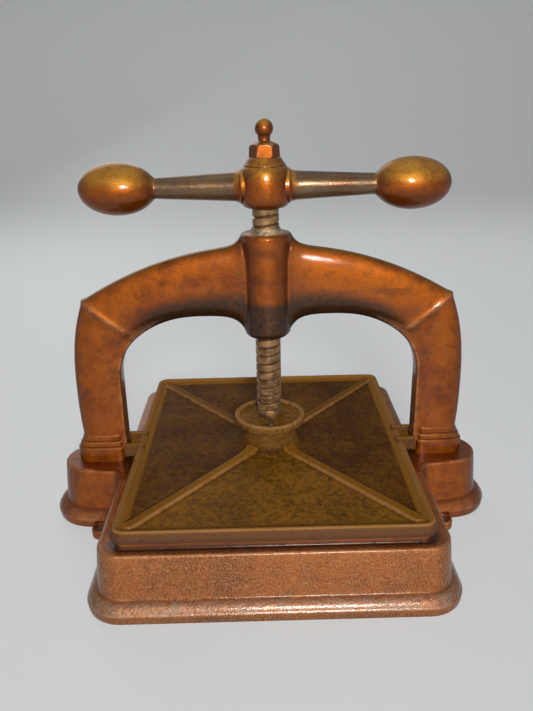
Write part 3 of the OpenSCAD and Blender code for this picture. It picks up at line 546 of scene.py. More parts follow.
def platen_skin(rib_width):
    """The platen plate: rounded rectangles from the underside over the rim and over the panels.

    On the panels the height is that of the ribs, whose sides are a smooth step of the distance from the diagonal,
    and of the neck's foot, which fades with the distance from the screw.
    """
    hx, hy = PLATEN_HX, PLATEN_HY
    ix, iy = hx - RIM_WIDTH, hy - RIM_WIDTH

    def ring(x, y, corner):
        return rounded_ring(x, y, corner, 96, 9, 1.8)

    rows = [(ring(hx * share, hy * share, 12 * share), PLATEN_Z, {}) for share in (0.05, 0.5, 0.9)]
    # Rows up the platen's side: inset, rise, pale share of wear and painted highlight, and painted shade along the foot
    # where it meets the bed.
    outside = (
        (1.6, 0, 0, 0), (0.7, 0.15, 0.1, 0.4), (0.2, 0.6, 0.1, 0.3), (0, 1.4, 0, 0.2), (0.9, 4, 0, 0), (1.9, 7, 0, 0),
        (2.4, 8.5, 0.1, 0), (2.7, 9.2, 0.5, 0), (3.2, 9.75, 0.9, 0), (3.9, 9.98, 0.7, 0), (4.6, 10, 0.3, 0),
        (5.2, 9.95, 0.3, 0), (5.8, 9.7, 0.6, 0),
    )
    for inset, rise, rub_and_highlight, dirt_and_shade in outside:
        marks = {"raised": 1.0, "rubbed": rub_and_highlight, "groove": dirt_and_shade}
        rows.append((ring(hx - inset, hy - inset, 13 - inset), PLATEN_Z + rise, marks))
    # Pale share on the rim's inner slope: part wear, part painted highlight.
    for inset, drop, rub_and_highlight in ((6.6, 0.75, 0.5), (8, 1.7, 0.2), (9.4, 2.6, 0.1), (10.6, 3.3, 0.25)):
        rows.append((ring(hx - inset, hy - inset, max(13 - inset, 2.5)), RIM_Z - drop, {"raised": 0.75, "rubbed": rub_and_highlight}))
    along = np.array([ix, iy]) / np.hypot(ix, iy)
    for share in np.concatenate([np.linspace(1.015, 0.97, 7), np.linspace(0.96, 0.3, 56), np.linspace(0.29, 0.03, 24)]):
        outline = ring(ix * share, iy * share, 2.5 * share)
        a, b = np.abs(outline[:, 0]), np.abs(outline[:, 1])
        off, reach = np.abs(a * along[1] - b * along[0]), a * along[0] + b * along[1]
        near = fade(reach - NECK_R, 3, 8)
        half = rib_width / 2 + 2.5 * near
        rib = smooth_step((half - off) / 2.6)
        edge = np.maximum(a - ix + 2.2, b - iy + 2.2)
        foot = 6.5 * fade(np.hypot(a, b) - NECK_R, 1.5, 3.4)
        z = smooth_max(PANEL_Z + 0.11 * np.maximum(edge, 0) ** 1.6 + (2.6 + 2.5 * near) * rib, PANEL_Z + foot, 0.8)
        clear = smooth_step((reach - 36) / 12)
        front = -outline[:, 1] / iy - a / ix
        # Painted light: all panels but the front one are darkened and the ribs behind the screw dimmed as painted
        # shade; rib edges take painted highlight, part wear, and their feet painted shade.
        marks = {
            "dull": 1 - smooth_step((front / np.maximum(share, 0.05) + 0.02) / 0.1) * smooth_step((share - 0.05) / 0.2),
            "raised": np.maximum(rib * (1 - 0.5 * smooth_step(outline[:, 1] / 12)), smooth_step((edge - 0.5) / 2)),
            "rubbed": 0.75 * bell(off - half + 1.6, 1.0) * clear,
            "groove": 0.75 * bell(off - half - 0.8, 0.9) * clear,
        }
        rows.append((outline, z, marks))
    return stack(rows)


def cup_skin():
    """The neck and cup: a profile of radius, height and pale share, part wear and part painted highlight, round the
    screw, with the socket let into it.
    """
    rows = np.array([
        (33, 68.2, 0), (31.5, 70.6, 0), (29.6, 72, 0), (28, 73.6, 0), (26.7, 75.8, 0), (25.6, 78.6, 0), (24.8, 82, 0),
        (24.4, 85.5, 0), (NECK_R, 89, 0), (24.6, 90.6, 0), (25.4, 91.3, 0), (27, 91.55, 0), (30.5, 91.6, 0),
        (32, 91.8, 0.1), (33, 92.4, 0.4), (33.6, 93.4, 0.3), (CUP_R, 95.2, 0.1), (CUP_R, 96.8, 0.1), (33.7, 98.4, 0.3),
        (33.2, 99.4, 0.9), (32.4, 99.9, 1), (31.4, CUP_Z, 0.5), (30.2, CUP_Z, 0.4), (29.4, 99.9, 0.8),
        (28.9, 99.5, 0.8), (RECESS_R, 98.8, 0.2), (RECESS_R, 96, 0), (RECESS_R, RECESS_Z, 0), (22, RECESS_Z, 0),
        (SOCKET_R, RECESS_Z, 0), (SOCKET_R, 88, 0), (SOCKET_R, 82.1, 0), (6, 82.1, 0),
    ])
    column = np.ones((1, 160))
    # Painted shade on the neck's foot, where it meets the panels; the cup's rim is paled by the profile's share.
    foot, rubbed = smooth_step((80 - rows[:, 1:2]) / 8) * column, rows[:, 2:] * column
    return revolve(rows[:, :2], 160, raised=0.35 * (1 - foot), dull=0.8 * foot, groove=0.3 * foot, rubbed=rubbed)


def fork_skins(side):
    """Two prongs and the web between them, as rounded blocks, that take the inner edge of a leg."""
    slot, x0 = GUIDE_HALF + 0.5, PLATEN_HX - 9
    blocks = []
    for sign in (-1, 1):
        y = sorted((sign * slot, sign * (slot + 5.25)))
        blocks.append(((x0, y[0], PLATEN_Z + 0.02), (LEG_IN + 1.8, y[1], RIM_Z + 2.5), 1.1, 1.3))
    blocks.append(((x0, -slot - 5, PLATEN_Z + 0.02), (LEG_IN - 1.2, slot + 5, PLATEN_Z + 8), 1.0, 1.2))
    skins = []
    for low, high, edge, corner in blocks:
        if side < 0:
            low, high = (-high[0], low[1], low[2]), (-low[0], high[1], high[2])
        part = rounded_block(low, high, edge, corner)
        part["marks"]["raised"] = np.full(len(part["points"]), 0.8)
        skins.append(part)
    return skins


def hub_skin():
    """The hub: a squat barrel, its radius carried round the screw by height."""
    rows = np.array([
        (0, 0.42), (0, 0.62), (0.006, 0.68), (0.023, 0.765), (0.069, 0.863), (0.12, 0.905), (0.19, 0.942), (0.27, 0.97),
        (0.35, 0.987), (0.44, 0.997), (0.52, 1), (0.6, 0.997), (0.69, 0.987), (0.77, 0.967), (0.843, 0.94), (0.9, 0.91),
        (0.949, 0.872), (0.985, 0.832), (0.996, 0.81), (1, 0.79), (1, 0.42),
    ])
    return revolve(np.stack([rows[:, 1] * HUB_R, SHOULDER_Z + rows[:, 0] * HUB_H], -1), 128)


def handle_skin():
    """The handle's bars and ends: one profile carried round the bar's axis.

    The radius is the rounded maximum of the tapering bars, which swell into the hub, and the oval ends.
    """
    half = steps(0.0, (17.0, 6), (32.0, 40), (84.0, 40), (100.0, 40), (150.0, 60))
    angle = np.linspace(np.arccos((150.0 - BALL_X) / BALL_HALF), 0, 46)[1:]
    half = np.concatenate([half, BALL_X + BALL_HALF * np.cos(angle)[:-1]])
    bar = np.where(half < BALL_X, 13.6 - 4.85 * half / 97.0 + 2.6 * fade(half, 20.5, 2.2), -20)
    place = (half - BALL_X) / BALL_HALF
    egg = BALL_R * np.sqrt(np.maximum(1 - np.abs(place) ** 2.05, 0))
    oval = np.where(np.abs(place) < 1, egg, -4 * (np.abs(place) - 1) * BALL_HALF)
    radius = smooth_max(bar, oval, 4.0)
    bare = smooth_step((half - 23) / 5) * smooth_step((97 - half) / 5)
    x = np.concatenate([-half[:0:-1], half])
    profile = np.stack([np.concatenate([radius[:0:-1], radius]), x], -1)
    mark = np.concatenate([bare[:0:-1], bare])[:, None] * np.ones((1, 112))
    return revolve(profile, 112, "x", (0, 0, BAR_Z), bare=mark)


def collar_skin():
    """The collar over the hub: a slightly hollow cone, flush with the hub below, with a rounded lip under the nut."""
    # Columns: radius, height above the collar's foot, and pale share on the lip, part wear and part painted highlight.
    rows = np.array([
        (7, 0, 0), (12, 0, 0), (17.7, 0.02, 0.3), (18.15, 0.2, 0.9), (18.2, 0.6, 0.8), (17.9, 1.2, 0.1), (17, 2.2, 0),
        (16.1, 3.4, 0), (15.4, 4.6, 0), (14.8, 5.6, 0), (14.4, 6.2, 0.2), (14.1, 6.6, 0.5), (13.6, 6.9, 0.4),
        (12.8, 6.98, 0.2), (9, 6.98, 0), (6.4, 6.98, 0),
    ])
    return revolve(rows[:, :2] + (0, COLLAR_Z), 112, rubbed=rows[:, 2:] * np.ones((1, 112)))


def nut_skin():
    """The nut and its ball: the nut's radius is that of a leaning hexagon with rounded corners, under a dome."""
    height = steps(NUT_Z, (NUT_Z + 0.6, 4), (NUT_Z + 6.0, 8), (NUT_Z + NUT_H - 0.25, 30))
    angle = np.linspace(0, 2 * np.pi, 168, endpoint=False)
    from_flat = (angle % (np.pi / 3)) - np.pi / 6
    hexagon = NUT_AF / 2 / np.cos(from_flat)
    hexagon = -smooth_max(-hexagon, np.full_like(hexagon, -(NUT_AF / np.sqrt(3) - 0.2)), 0.5)
    rise = np.clip((height[:, None] - NUT_Z - 6.7) / (NUT_H + 0.5 - 6.7), 0, 1)
    dome = np.minimum(NUT_AF * 0.572 * np.sqrt(1 - rise**2), NUT_AF * 0.53 + 1.5 * (height[:, None] - NUT_Z))
    flats = hexagon - 0.07 * (height[:, None] - NUT_Z)
    radius = -smooth_max(-flats, -dome, 0.35)
    crown = np.array([(5.6, -0.05), (5.25, 0.5), (5.1, 1.3), (5.05, 2.1), (5.15, 2.9), (5.3, 3.5)])
    turn = np.linspace(-0.83, np.pi / 2, 40)[1:-1]
    ball = np.stack([FINIAL_R * np.cos(turn), FINIAL_Z + FINIAL_R * np.sin(turn)], -1)
    rows = np.concatenate([crown + (0, NUT_Z + NUT_H), ball])
    on_nut = (np.arange(len(height) + len(rows)) < len(height))[:, None]
    # Pale hexagon corners: part wear, part painted highlight.
    corner = bell(np.abs(from_flat) - np.pi / 6, 0.07) * on_nut
    return around([(radius, height), (rows[:, :1], rows[:, 1])], len(angle), rubbed=corner)


def screw_skin(lead, depth):
    """The screw: a cylinder of angle and height whose radius drops into a groove.

    The groove lies where height over lead less the turn is near a half, and fades out at both ends of the thread.
    """
    angle = np.linspace(0, 2 * np.pi, 96, endpoint=False)
    z = steps(THREAD_FOOT_Z, (SHOULDER_Z - 0.6, 580))
    phase = (z[:, None] / lead - angle / (2 * np.pi)) % 1
    groove = 1 - smooth_step((np.abs(phase - 0.5) - 0.03) / 0.14)
    fade = smooth_step((z - 103) / 6) * smooth_step((SHOULDER_Z - 1.5 - z) / 5)
    groove = groove * fade[:, None]
    radius = SCREW_R - 0.05 - depth * groove
    foot = [(13.8, 85), (13.8, 92.9), (9.6, 93), (9.5, 97), (9.5, 100.3), (9.9, 100.6), (10.9, 100.7), (11.5, 101)]
    low, high = np.array(foot), np.array([(11.2, SHOULDER_Z - 0.2), (9.0, SHOULDER_Z)])
    parts = [(low[:, :1], low[:, 1]), (radius, z), (high[:, :1], high[:, 1])]
    # The groove mark darkens the thread's groove in the finish, as painted shade.
    return around(parts, len(angle), groove=np.pad(groove, ((len(low), len(high)), (0, 0))))


def screw_head(y, turn):
    """A slotted screw head: a low dome of distance and angle, cut down along a straight slot."""
    angle = np.linspace(0, 2 * np.pi, 72, endpoint=False)
    share = np.array([1.0, 1.0, 0.98, 0.93, 0.86, 0.75, 0.62, 0.5, 0.38, 0.27, 0.17, 0.08])[:, None]
    rise = np.array([-0.5, 0.2, 0.6, 0.95, 1.2, 1.38, 1.48, 1.53, 1.56, 1.58, 1.59, 1.6])[:, None]
    x, across = KEEPER_HEAD_R * share * np.cos(angle), KEEPER_HEAD_R * share * np.sin(angle)
    side = np.abs(-x * np.sin(turn) + across * np.cos(turn))
    cut = np.where(share < 1, 0.9 * (1 - smooth_step((side - 0.35) / 0.25)), 0)
    z = KEEPER_Z + np.maximum(rise - cut, np.minimum(rise, 0.3))
    # The slot's mark darkens it in the finish, as painted shade.
    return skin(np.stack([x, y + across, z], -1), groove=np.clip(cut, 0, 1))


class Nodes:
    """Adds shader nodes to a tree by small calls."""

    def __init__(self, tree):
        self.tree = tree

    def join(self, value, socket):
        """Links a socket, or sets it to a number or colour."""
        if isinstance(value, bpy.types.NodeSocket):
            self.tree.links.new(value, socket)
        else:
            socket.default_value = (*value, 1.0) if socket.type == "RGBA" else value

    def node(self, kind, **inputs):
        """A new node, its inputs linked or set by name, with an underscore for each space."""
        node = self.tree.nodes.new("ShaderNode" + kind)
        for name, value in inputs.items():
            self.join(value, node.inputs[name.replace("_", " ")])
        return node

    def math(self, kind, a, b=0.0):
        node = self.node("Math")
        node.operation = kind
        self.join(a, node.inputs[0])
        self.join(b, node.inputs[1])
        return node.outputs[0]

    def times(self, a, b):
        return self.math("MULTIPLY", a, b)

    def blend(self, a, share_a, b, share_b):
        """Two values added, each times its share."""
        return self.math("ADD", self.times(a, share_a), self.times(b, share_b))

    def span(self, value, low, high, to_low=0.0, to_high=1.0):
        """A value carried smoothly from one span to another."""
        node = self.node("MapRange", Value=value, From_Min=low, From_Max=high, To_Min=to_low, To_Max=to_high)
        node.interpolation_type = "SMOOTHSTEP"
        return node.outputs["Result"]

    def mix(self, share, a, b):
        """Two colours mixed by a share. The node's colour inputs are numbers 6 and 7."""
        node = self.node("Mix")
        node.data_type = "RGBA"
        for place, value in ((0, share), (6, a), (7, b)):
            self.join(value, node.inputs[place])
        return node.outputs[2]

    def seen(self):
        """One where the background is seen or mirrored, and nought where it only gives light."""
        rays = self.node("LightPath").outputs
        direct, mirrored, through = (rays[name] for name in SEEN_RAYS)
        return self.math("MAXIMUM", self.math("MAXIMUM", direct, mirrored), through)


class Finish(Nodes):
    """A procedural material on the object's own coordinates."""

    def __init__(self, name):
        self.material = bpy.data.materials.new(name)
        self.material.use_nodes = True
        super().__init__(self.material.node_tree)
        self.shader = self.tree.nodes["Principled BSDF"]
        self.coordinates = self.node("TexCoord")

    def noise(self, size, detail=4.0, rough=0.6, bend=0.0, stretch=None):
        """Noise whose features are about that size in metres."""
        place = self.coordinates.outputs["Object"]
        if stretch:
            place = self.node("Mapping", Vector=place, Scale=stretch).outputs["Vector"]
        numbers = {"Scale": 1.0 / size, "Detail": detail, "Roughness": rough, "Distortion": bend}
        return self.node("TexNoise", Vector=place, **numbers).outputs["Fac"]

    def mark(self, name):
        node = self.node("Attribute")
        node.attribute_name = name
        return node.outputs["Fac"]

    def facing(self, letter, kind="Normal"):
        """How far a face looks along one of the object's own axes, or how far along it a point lies."""
        return self.node("SeparateXYZ", Vector=self.coordinates.outputs[kind]).outputs[letter]

    def bump(self, height, distance):
        """Raises the surface by a height, and the coat over it by a quarter of that."""
        for socket, share in (("Normal", 1.0), ("Coat Normal", 0.25)):
            node = self.node("Bump", Strength=1.0, Distance=distance * share, Height=height)
            self.join(node.outputs["Normal"], self.shader.inputs[socket])

    def finish(self, colour, rough, metal, **constants):
        for socket, value in {"Base_Color": colour, "Roughness": rough, "Metallic": metal, **constants}.items():
            self.join(value, self.shader.inputs[socket.replace("_", " ")])
        return self.material


def scaled(tone, share):
    """A colour made darker or lighter by a share."""
    return tuple(share * v for v in tone)


def lacquer_finish(name, tones, grain, shine, top, tarnish=0.45, flakes_and_highlights=0.0, dust_and_sheen=0.0):
    """Copper-brown lacquer over a casting: two slow tones, stains, a fine grain, dirt and painted shade in grooves, and
    edges made pale by wear and by painted highlights.

    Faces that look up past the tarnish angle take the top colour, part tarnish and part painted reflection, and those
    that look sideways or down are darkened as painted shade. The bare mark uncovers dark metal. One share sets the
    pale chips and painted highlights where the flaked mark lies, and another the fine pale grains, part dust and part
    painted sheen, where the grainy mark lies.
    """
    f = Finish(name)
    patch, blotch = f.noise(0.085, 4, 0.55, 0.3), f.noise(0.014, 5, 0.62, 0.3)
    stain, smear = f.noise(0.009, 5, 0.65, 0.6), f.noise(0.012, 4, 0.6, 0.0, (0.25, 1, 1))
    speck, chip = f.noise(0.0017, 3, 0.65), f.noise(0.004, 4, 0.7, 0.6)
    base = f.mix(f.span(f.blend(patch, 0.5, blotch, 0.5), 0.36, 0.60), tones.red_brown, tones.copper)
    # Painted reflection, part tarnish: faces that look up take the top colour, mottled by the blotches.
    up = f.times(f.span(f.facing("Z"), tarnish, tarnish + 0.5), f.span(blotch, 0.3, 0.6, 0.55, 0.95))
    base = f.mix(up, base, top)
    for noise, low, high, most in ((stain, 0.48, 0.74, 0.4), (speck, 0.46, 0.28, 0.5), (smear, 0.56, 0.72, 0.4)):
        base = f.mix(f.span(noise, low, high, 0.0, most), base, tones.soot_and_shade)
    # Painted shade: faces that look sideways or down are darkened towards a dark red-brown.
    painted_side_shade = f.span(f.math("ABSOLUTE", f.facing("X")), 0.3, 0.85)
    painted_shade = f.math("MAXIMUM", painted_side_shade, f.span(f.facing("Z"), 0.05, -0.5))
    base = f.mix(f.times(painted_shade, 0.8), base, scaled(tones.red_brown, 0.6))
    # Fine pale grains where the grainy mark lies: part dust, part painted sheen.
    if dust_and_sheen:
        dust_and_sheen_grains = f.times(f.mark("grainy"), f.span(f.noise(0.0011, 2, 0.6), 0.34, 0.78, 0.0, dust_and_sheen))
        base = f.mix(dust_and_sheen_grains, base, tones.worn)
    # Dirt and painted shade: where the groove mark lies, hollows, creases and faces under other parts go towards the
    # dark tone.
    edge = f.math("ADD", f.mark("groove"), f.times(f.math("SUBTRACT", blotch, 0.5), 0.6))
    dirt_and_shade = f.times(f.span(edge, 0.05, 1.05), f.span(chip, 0.35, 0.7, 1.0, 0.75))
    base = f.mix(dirt_and_shade, base, tones.soot_and_shade)
    # Edges made pale where their mark lies: part wear, part painted highlight.
    wear = f.blend(blotch, 0.5, chip, 0.5)
    base = f.mix(f.times(f.mark("rubbed"), f.span(wear, 0.42, 0.62, 0.1, 0.6)), base, tones.worn)
    # Pale chips where their mark lies: part bare metal, part painted highlight.
    if flakes_and_highlights:
        chips_and_highlights = f.times(f.mark("flaked"), f.span(wear, 0.44, 0.62, 0.25 * flakes_and_highlights, flakes_and_highlights))
        base = f.mix(chips_and_highlights, base, tones.chip_and_highlight)
    bare = f.times(f.mark("bare"), f.span(blotch, 0.25, 0.5, 0.6, 1.0))
    base = f.mix(bare, base, f.mix(f.span(smear, 0.32, 0.68), scaled(tones.soot_and_shade, 3.5), tones.bar))
    rough = f.span(f.math("ADD", blotch, f.times(speck, 0.4)), 0.45, 0.95, shine, shine + 0.2)
    rough = f.math("SUBTRACT", rough, f.times(bare, 0.1))
    f.bump(f.blend(f.noise(0.005, 3, 0.5), 0.5, speck, 0.4), grain)
    return f.finish(base, rough, 0.65, Coat_Weight=0.5, Coat_Roughness=0.13, Specular_IOR_Level=0.1)


def platen_finish(tones, grain):
    """Mottled panels with golden ribs and rim: the raised mark mixes the two, and their edges are made pale, part wear
    and part painted highlight.

    All panels but the front one are darkened as painted shade. Fine golden specks lie over the panels.
    """
    f = Finish("platen finish")
    patch, blotch, speck = f.noise(0.06, 4, 0.6, 0.4), f.noise(0.0048, 5, 0.65, 0.5), f.noise(0.0022, 3, 0.65)
    tone = f.blend(patch, 0.45, blotch, 0.55)
    panel = f.mix(f.span(tone, 0.38, 0.62), tones.panel_dark, tones.panel)
    # Painted shade: all panels but the front one are darkened.
    dull = f.times(f.mark("dull"), f.span(tone, 0.36, 0.64, 0.76, 0.52))
    panel = f.mix(dull, panel, scaled(tones.red_brown, 0.22))
    panel = f.mix(f.span(blotch, 0.52, 0.36, 0.0, 0.3), panel, tones.soot_and_shade)
    gold = f.times(f.span(f.noise(0.0036, 3, 0.6, 0.4), 0.54, 0.70), f.span(patch, 0.35, 0.6, 0.2, 0.55))
    panel = f.mix(gold, panel, tones.rib)
    raised = f.mix(f.span(tone, 0.38, 0.60, 0.2, 1.0), tones.panel, tones.rib)
    # Faces that turn upright take the side colour.
    raised = f.mix(f.span(f.facing("Z"), 0.62, 0.25), raised, tones.rim)
    base = f.mix(f.mark("raised"), panel, raised)
    base = f.mix(f.span(speck, 0.46, 0.30, 0.0, 0.5), base, tones.soot_and_shade)
    # Painted shade at the ribs' feet and along the platen's foot, and pale edges, part wear and part painted highlight.
    base = f.mix(f.times(f.mark("groove"), 0.8), base, tones.soot_and_shade)
    base = f.mix(f.times(f.mark("rubbed"), f.span(tone, 0.36, 0.62, 0.2, 0.7)), base, tones.worn)
    f.bump(f.blend(blotch, 0.5, speck, 0.4), grain)
    return f.finish(base, f.span(blotch, 0.3, 0.7, 0.44, 0.60), 0.05, Specular_IOR_Level=0.04)


def metal_finish(name, clean, dirt_and_shade_tone, grain, shine):
    """Bare metal: two tones by blotches, grooves darkened as painted shade, and a fine grain."""
    f = Finish(name)
    blotch, speck = f.noise(0.008, 5, 0.65, 0.3), f.noise(0.0016, 3, 0.6)
    base = f.mix(f.span(blotch, 0.36, 0.62), dirt_and_shade_tone, clean)
    # Painted shade: the thread's groove and the screw slots are darkened.
    base = f.mix(f.times(f.mark("groove"), 0.75), base, scaled(dirt_and_shade_tone, 0.4))
    base = f.mix(f.times(f.span(speck, 0.5, 0.3), 0.4), base, dirt_and_shade_tone)
    f.bump(f.blend(blotch, 0.5, speck, 0.5), grain)
    return f.finish(base, f.span(blotch, 0.3, 0.7, shine, shine + 0.22), 0.5, Specular_IOR_Level=0.4)


def shared(context):
    """The scene's sizes, and its colours as plain tuples."""
    tones = context.scene.press_colours
    plain = {name: tuple(getattr(tones, name)) for name in PressColours.__annotations__}
    return context.scene.press_sizes, SimpleNamespace(**plain)


def dress(material, *names):
    """Gives carried-over solids their finish."""
    for name in names:
        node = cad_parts[name]
        if not node.material_slots:
            node.data.materials.append(material)
        for place in node.material_slots:
            place.material = material


class PRESS_OT_base(bpy.types.Operator):
    """Build the hollow base with its ears, lugs and ribs"""

    bl_idname = "press.base"
    bl_label = "Base casting"

    def execute(self, context):
        sizes, tones = shared(context)
        # The base's chips and pale grains: part chipping and dust, part painted highlight and painted sheen.
        marred = {"tarnish": 0.6, "flakes_and_highlights": 0.65, "dust_and_sheen": 0.85}
        finish = lacquer_finish("base lacquer", tones, sizes.cast_grain * 2.2, 0.42, tones.red_brown, **marred)
        skins = [base_shell(), ear_skin(1), ear_skin(-1)]
        skins += [lug_skin(side, front) for side in (1, -1) for front in (1, -1)]
        x, y, top = BASE_HX - RIB_END, BASE_HY - RIB_END, BED_UNDER_Z + 0.2
        skins.append(rounded_block((-RIB_HALF, -y, RIB_FOOT_Z), (RIB_HALF, y, top), 1.0, 1.0))
        skins.append(rounded_block((-x, -RIB_HALF, RIB_FOOT_Z + RIB_LIFT), (x, RIB_HALF, top), 1.0, 1.0))
        joined("base_casting", skins, finish, "frame", "cast_frame", "base")
        return {"FINISHED"}


class PRESS_OT_arch(bpy.types.Operator):
    """Build the arch with its boss and feet"""

    bl_idname = "press.arch"
    bl_label = "Arch casting"

    def execute(self, context):
        sizes, tones = shared(context)
        finish = lacquer_finish("arch lacquer", tones, sizes.cast_grain, 0.4, tones.olive_and_reflection)
        skins = [arch_skin(sizes.mitre_ridge / MM), foot_skin(1), foot_skin(-1)]
        joined("arch_casting", skins, finish, "frame", "cast_frame", "arch")
        return {"FINISHED"}


class PRESS_OT_platen(bpy.types.Operator):
    """Build the ribbed platen with its cup and forks"""

    bl_idname = "press.platen"
    bl_label = "Platen casting"

    def execute(self, context):
        sizes, tones = shared(context)
        finish = platen_finish(tones, sizes.cast_grain)
        skins = [platen_skin(sizes.rib_width / MM), cup_skin(), *fork_skins(1), *fork_skins(-1)]
        joined("platen_casting", skins, finish, "platen_carriage", "cast_platen", "platen")
        dress(finish, "keeper_front", "keeper_rear")
        return {"FINISHED"}


class PRESS_OT_screw(bpy.types.Operator):
    """Build the threaded screw and finish its bush"""

    bl_idname = "press.screw"
    bl_label = "Screw and bush"

    def execute(self, context):
        sizes, tones = shared(context)
        steel = metal_finish("screw steel", tones.thread, scaled(tones.thread, 0.4), 0.0003, 0.34)
        skins = [screw_skin(sizes.thread_lead / MM, sizes.thread_depth / MM)]
        joined("threaded_screw", skins, steel, "screw_and_handle", "screw", "press_screw")
        dress(metal_finish("bush bronze", tones.bronze, tones.steel, 0.0002, 0.3), "thread_bush")
        return {"FINISHED"}


class PRESS_OT_handle(bpy.types.Operator):
    """Build the handle, its collar and the nut with its ball"""

    bl_idname = "press.handle"
    bl_label = "Handle, collar and nut"

    def execute(self, context):
        sizes, tones = shared(context)
        # The handle's and nut's faces that look up take a lighter olive: part tarnish, part painted reflection.
        finish = lacquer_finish("handle lacquer", tones, sizes.cast_grain * 0.8, 0.34, scaled(tones.olive_and_reflection, 2.0), 0.0)
        joined("handle_casting", [hub_skin(), handle_skin()], finish, "screw_and_handle", "cast_handle", "handle")
        small = lacquer_finish("nut lacquer", tones, sizes.cast_grain * 0.6, 0.34, scaled(tones.olive_and_reflection, 1.7), 0.2)
        joined("hub_collar", [collar_skin()], small, "screw_and_handle", "cast_handle", "hub_washer")
        joined("ball_nut", [nut_skin()], small, "screw_and_handle", "cast_handle", "cap_nut")
        return {"FINISHED"}


class PRESS_OT_fasteners(bpy.types.Operator):
    """Build the keepers' screw heads and finish the bolts, washers and pin"""

    bl_idname = "press.fasteners"
    bl_label = "Fasteners"

    def execute(self, context):
        _, tones = shared(context)
        steel = metal_finish("fastener steel", tones.steel, tones.soot_and_shade, 0.0002, 0.35)
        heads = [screw_head(-KEEPER_SCREW_Y, 0.5), screw_head(KEEPER_SCREW_Y, 1.9)]
        joined("keeper_screw_heads", heads, steel, "platen_carriage", "fasteners", "keeper_screws")
        dress(steel, "leg_bolt_left", "leg_bolt_right", "leg_washer_left", "leg_washer_right")
        dress(steel, "bush_pin", "thrust_disc")
        return {"FINISHED"}


def lay_floor(scene, look):
    """Lays the floor, which turns up behind: pale where it is seen, and painted where it gives light."""
    turn = np.linspace(0, np.pi / 2, 24)
    back = np.concatenate([[SWEEP_FRONT, -1.0, 0.0], BEND_Y + BEND_R * np.sin(turn), [BEND_Y + BEND_R]])
    up = np.concatenate([[0.0, 0.0, 0.0], BEND_R - BEND_R * np.cos(turn), [WALL_TOP]])
    across = np.linspace(-SWEEP_HALF, SWEEP_HALF, 9)
    grid = np.stack(np.broadcast_arrays(across[None, :], back[:, None], up[:, None]), -1)
    mesh = bpy.data.meshes.new("floor_sweep")
    mesh.from_pydata(grid.reshape(-1, 3).tolist(), [], grid_quads(*grid.shape[:2]).tolist())
    mesh.shade_smooth()
    floor = bpy.data.objects.new("floor_sweep", mesh)
    scene.collection.objects.link(floor)
    f = Finish("floor paint")
    seen, tone = f.seen(), tuple(look.floor)
    lit = f.mix(f.noise(0.4, 3, 0.5), scaled(tone, 0.97), tone)
    lit = f.mix(seen, lit, scaled(tone, 0.5))
    glow = f.times(seen, f.span(f.facing("Z", "Object"), 0.0, 0.15, look.floor_glow, 0.62 * look.floor_glow))
    mesh.materials.append(f.finish(lit, 0.6, 0.0, Emission_Color=DAYLIGHT, Emission_Strength=glow))


def set_camera(scene):
    """Sets the camera where the fit to the picture puts it."""
    camera = bpy.data.objects.new("camera", bpy.data.cameras.new("camera"))
    camera.data.lens, camera.data.sensor_width = FOCAL_PIXELS * SENSOR_MM / PICTURE_PIXELS, SENSOR_MM
    camera.data.clip_start = 0.01
    yaw, pitch, roll = np.radians(CAMERA_TURN)
    ahead = np.array([np.sin(yaw) * np.cos(pitch), np.cos(yaw) * np.cos(pitch), -np.sin(pitch)])
    right = np.array([np.cos(yaw), -np.sin(yaw), 0.0])
    upward = np.cross(right, ahead)
    turned = np.eye(4)
    turned[:3, 0] = right * np.cos(roll) + upward * np.sin(roll)
    turned[:3, 1] = upward * np.cos(roll) - right * np.sin(roll)
    turned[:3, 2], turned[:3, 3] = -ahead, CAMERA_PLACE
    camera.matrix_world = Matrix(turned.tolist())
    scene.collection.objects.link(camera)
    scene.camera = camera


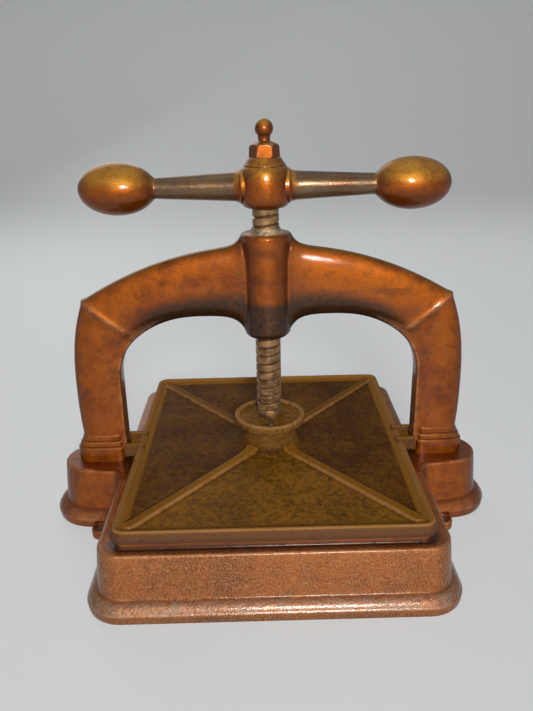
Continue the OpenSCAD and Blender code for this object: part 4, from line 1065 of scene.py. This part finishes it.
def set_lights(scene, look):
    """Hangs the lamps and lights the sky: pale where it is seen, and faint where it gives light."""
    for name, where, target, size, share, spread in LAMPS:
        lamp = bpy.data.lights.new(name, "AREA")
        lamp.shape, lamp.size, lamp.energy, lamp.spread = "DISK", size, look.key_power * share, np.radians(spread)
        holder = bpy.data.objects.new(name, lamp)
        aim = (Vector(target) - Vector(where)).to_track_quat("-Z", "Y")
        holder.matrix_world = Matrix.LocRotScale(Vector(where), aim, None)
        scene.collection.objects.link(holder)
    world = bpy.data.worlds.new("sky")
    world.use_nodes = True
    sky, background = Nodes(world.node_tree), world.node_tree.nodes["Background"]
    sky.join(DAYLIGHT, background.inputs["Color"])
    sky.join(sky.span(sky.seen(), 0.0, 1.0, look.sky, look.backdrop), background.inputs["Strength"])
    scene.world = world


class PRESS_OT_stage(bpy.types.Operator):
    """Lay the floor with its sweep, and set the camera, the lamps and the sky"""

    bl_idname = "press.stage"
    bl_label = "Stage"

    def execute(self, context):
        scene, look = context.scene, context.scene.press_stage
        lay_floor(scene, look)
        set_camera(scene)
        set_lights(scene, look)
        scene.view_settings.view_transform = "Standard"
        return {"FINISHED"}


class PRESS_PT_panel(bpy.types.Panel):
    """Lists the press's sizes and colours, and the operators that build its pieces"""

    bl_idname = "PRESS_PT_panel"
    bl_label = "Copying press"
    bl_space_type = "VIEW_3D"
    bl_region_type = "UI"
    bl_category = "Press"

    def draw(self, context):
        layout = self.layout
        for group in (context.scene.press_sizes, context.scene.press_colours, context.scene.press_stage):
            box = layout.box()
            for name in group.__annotations__:
                box.prop(group, name)
        for operator in PIECES:
            layout.operator(operator.bl_idname)


GROUPS = (PressSizes, PressColours, PressStage)
PIECES = (
    PRESS_OT_stage,
    PRESS_OT_base,
    PRESS_OT_arch,
    PRESS_OT_platen,
    PRESS_OT_screw,
    PRESS_OT_handle,
    PRESS_OT_fasteners,
)
CLASSES = (*GROUPS, *PIECES, PRESS_PT_panel)


def register():
    for cls in CLASSES:
        bpy.utils.register_class(cls)
    bpy.types.Scene.press_sizes = PointerProperty(type=PressSizes)
    bpy.types.Scene.press_colours = PointerProperty(type=PressColours)
    bpy.types.Scene.press_stage = PointerProperty(type=PressStage)


def unregister():
    del bpy.types.Scene.press_stage
    del bpy.types.Scene.press_colours
    del bpy.types.Scene.press_sizes
    for cls in reversed(CLASSES):
        bpy.utils.unregister_class(cls)


def main():
    register()
    for operator in PIECES:
        group, name = operator.bl_idname.split(".")
        getattr(getattr(bpy.ops, group), name)()


if __name__ == "__main__":
    main()
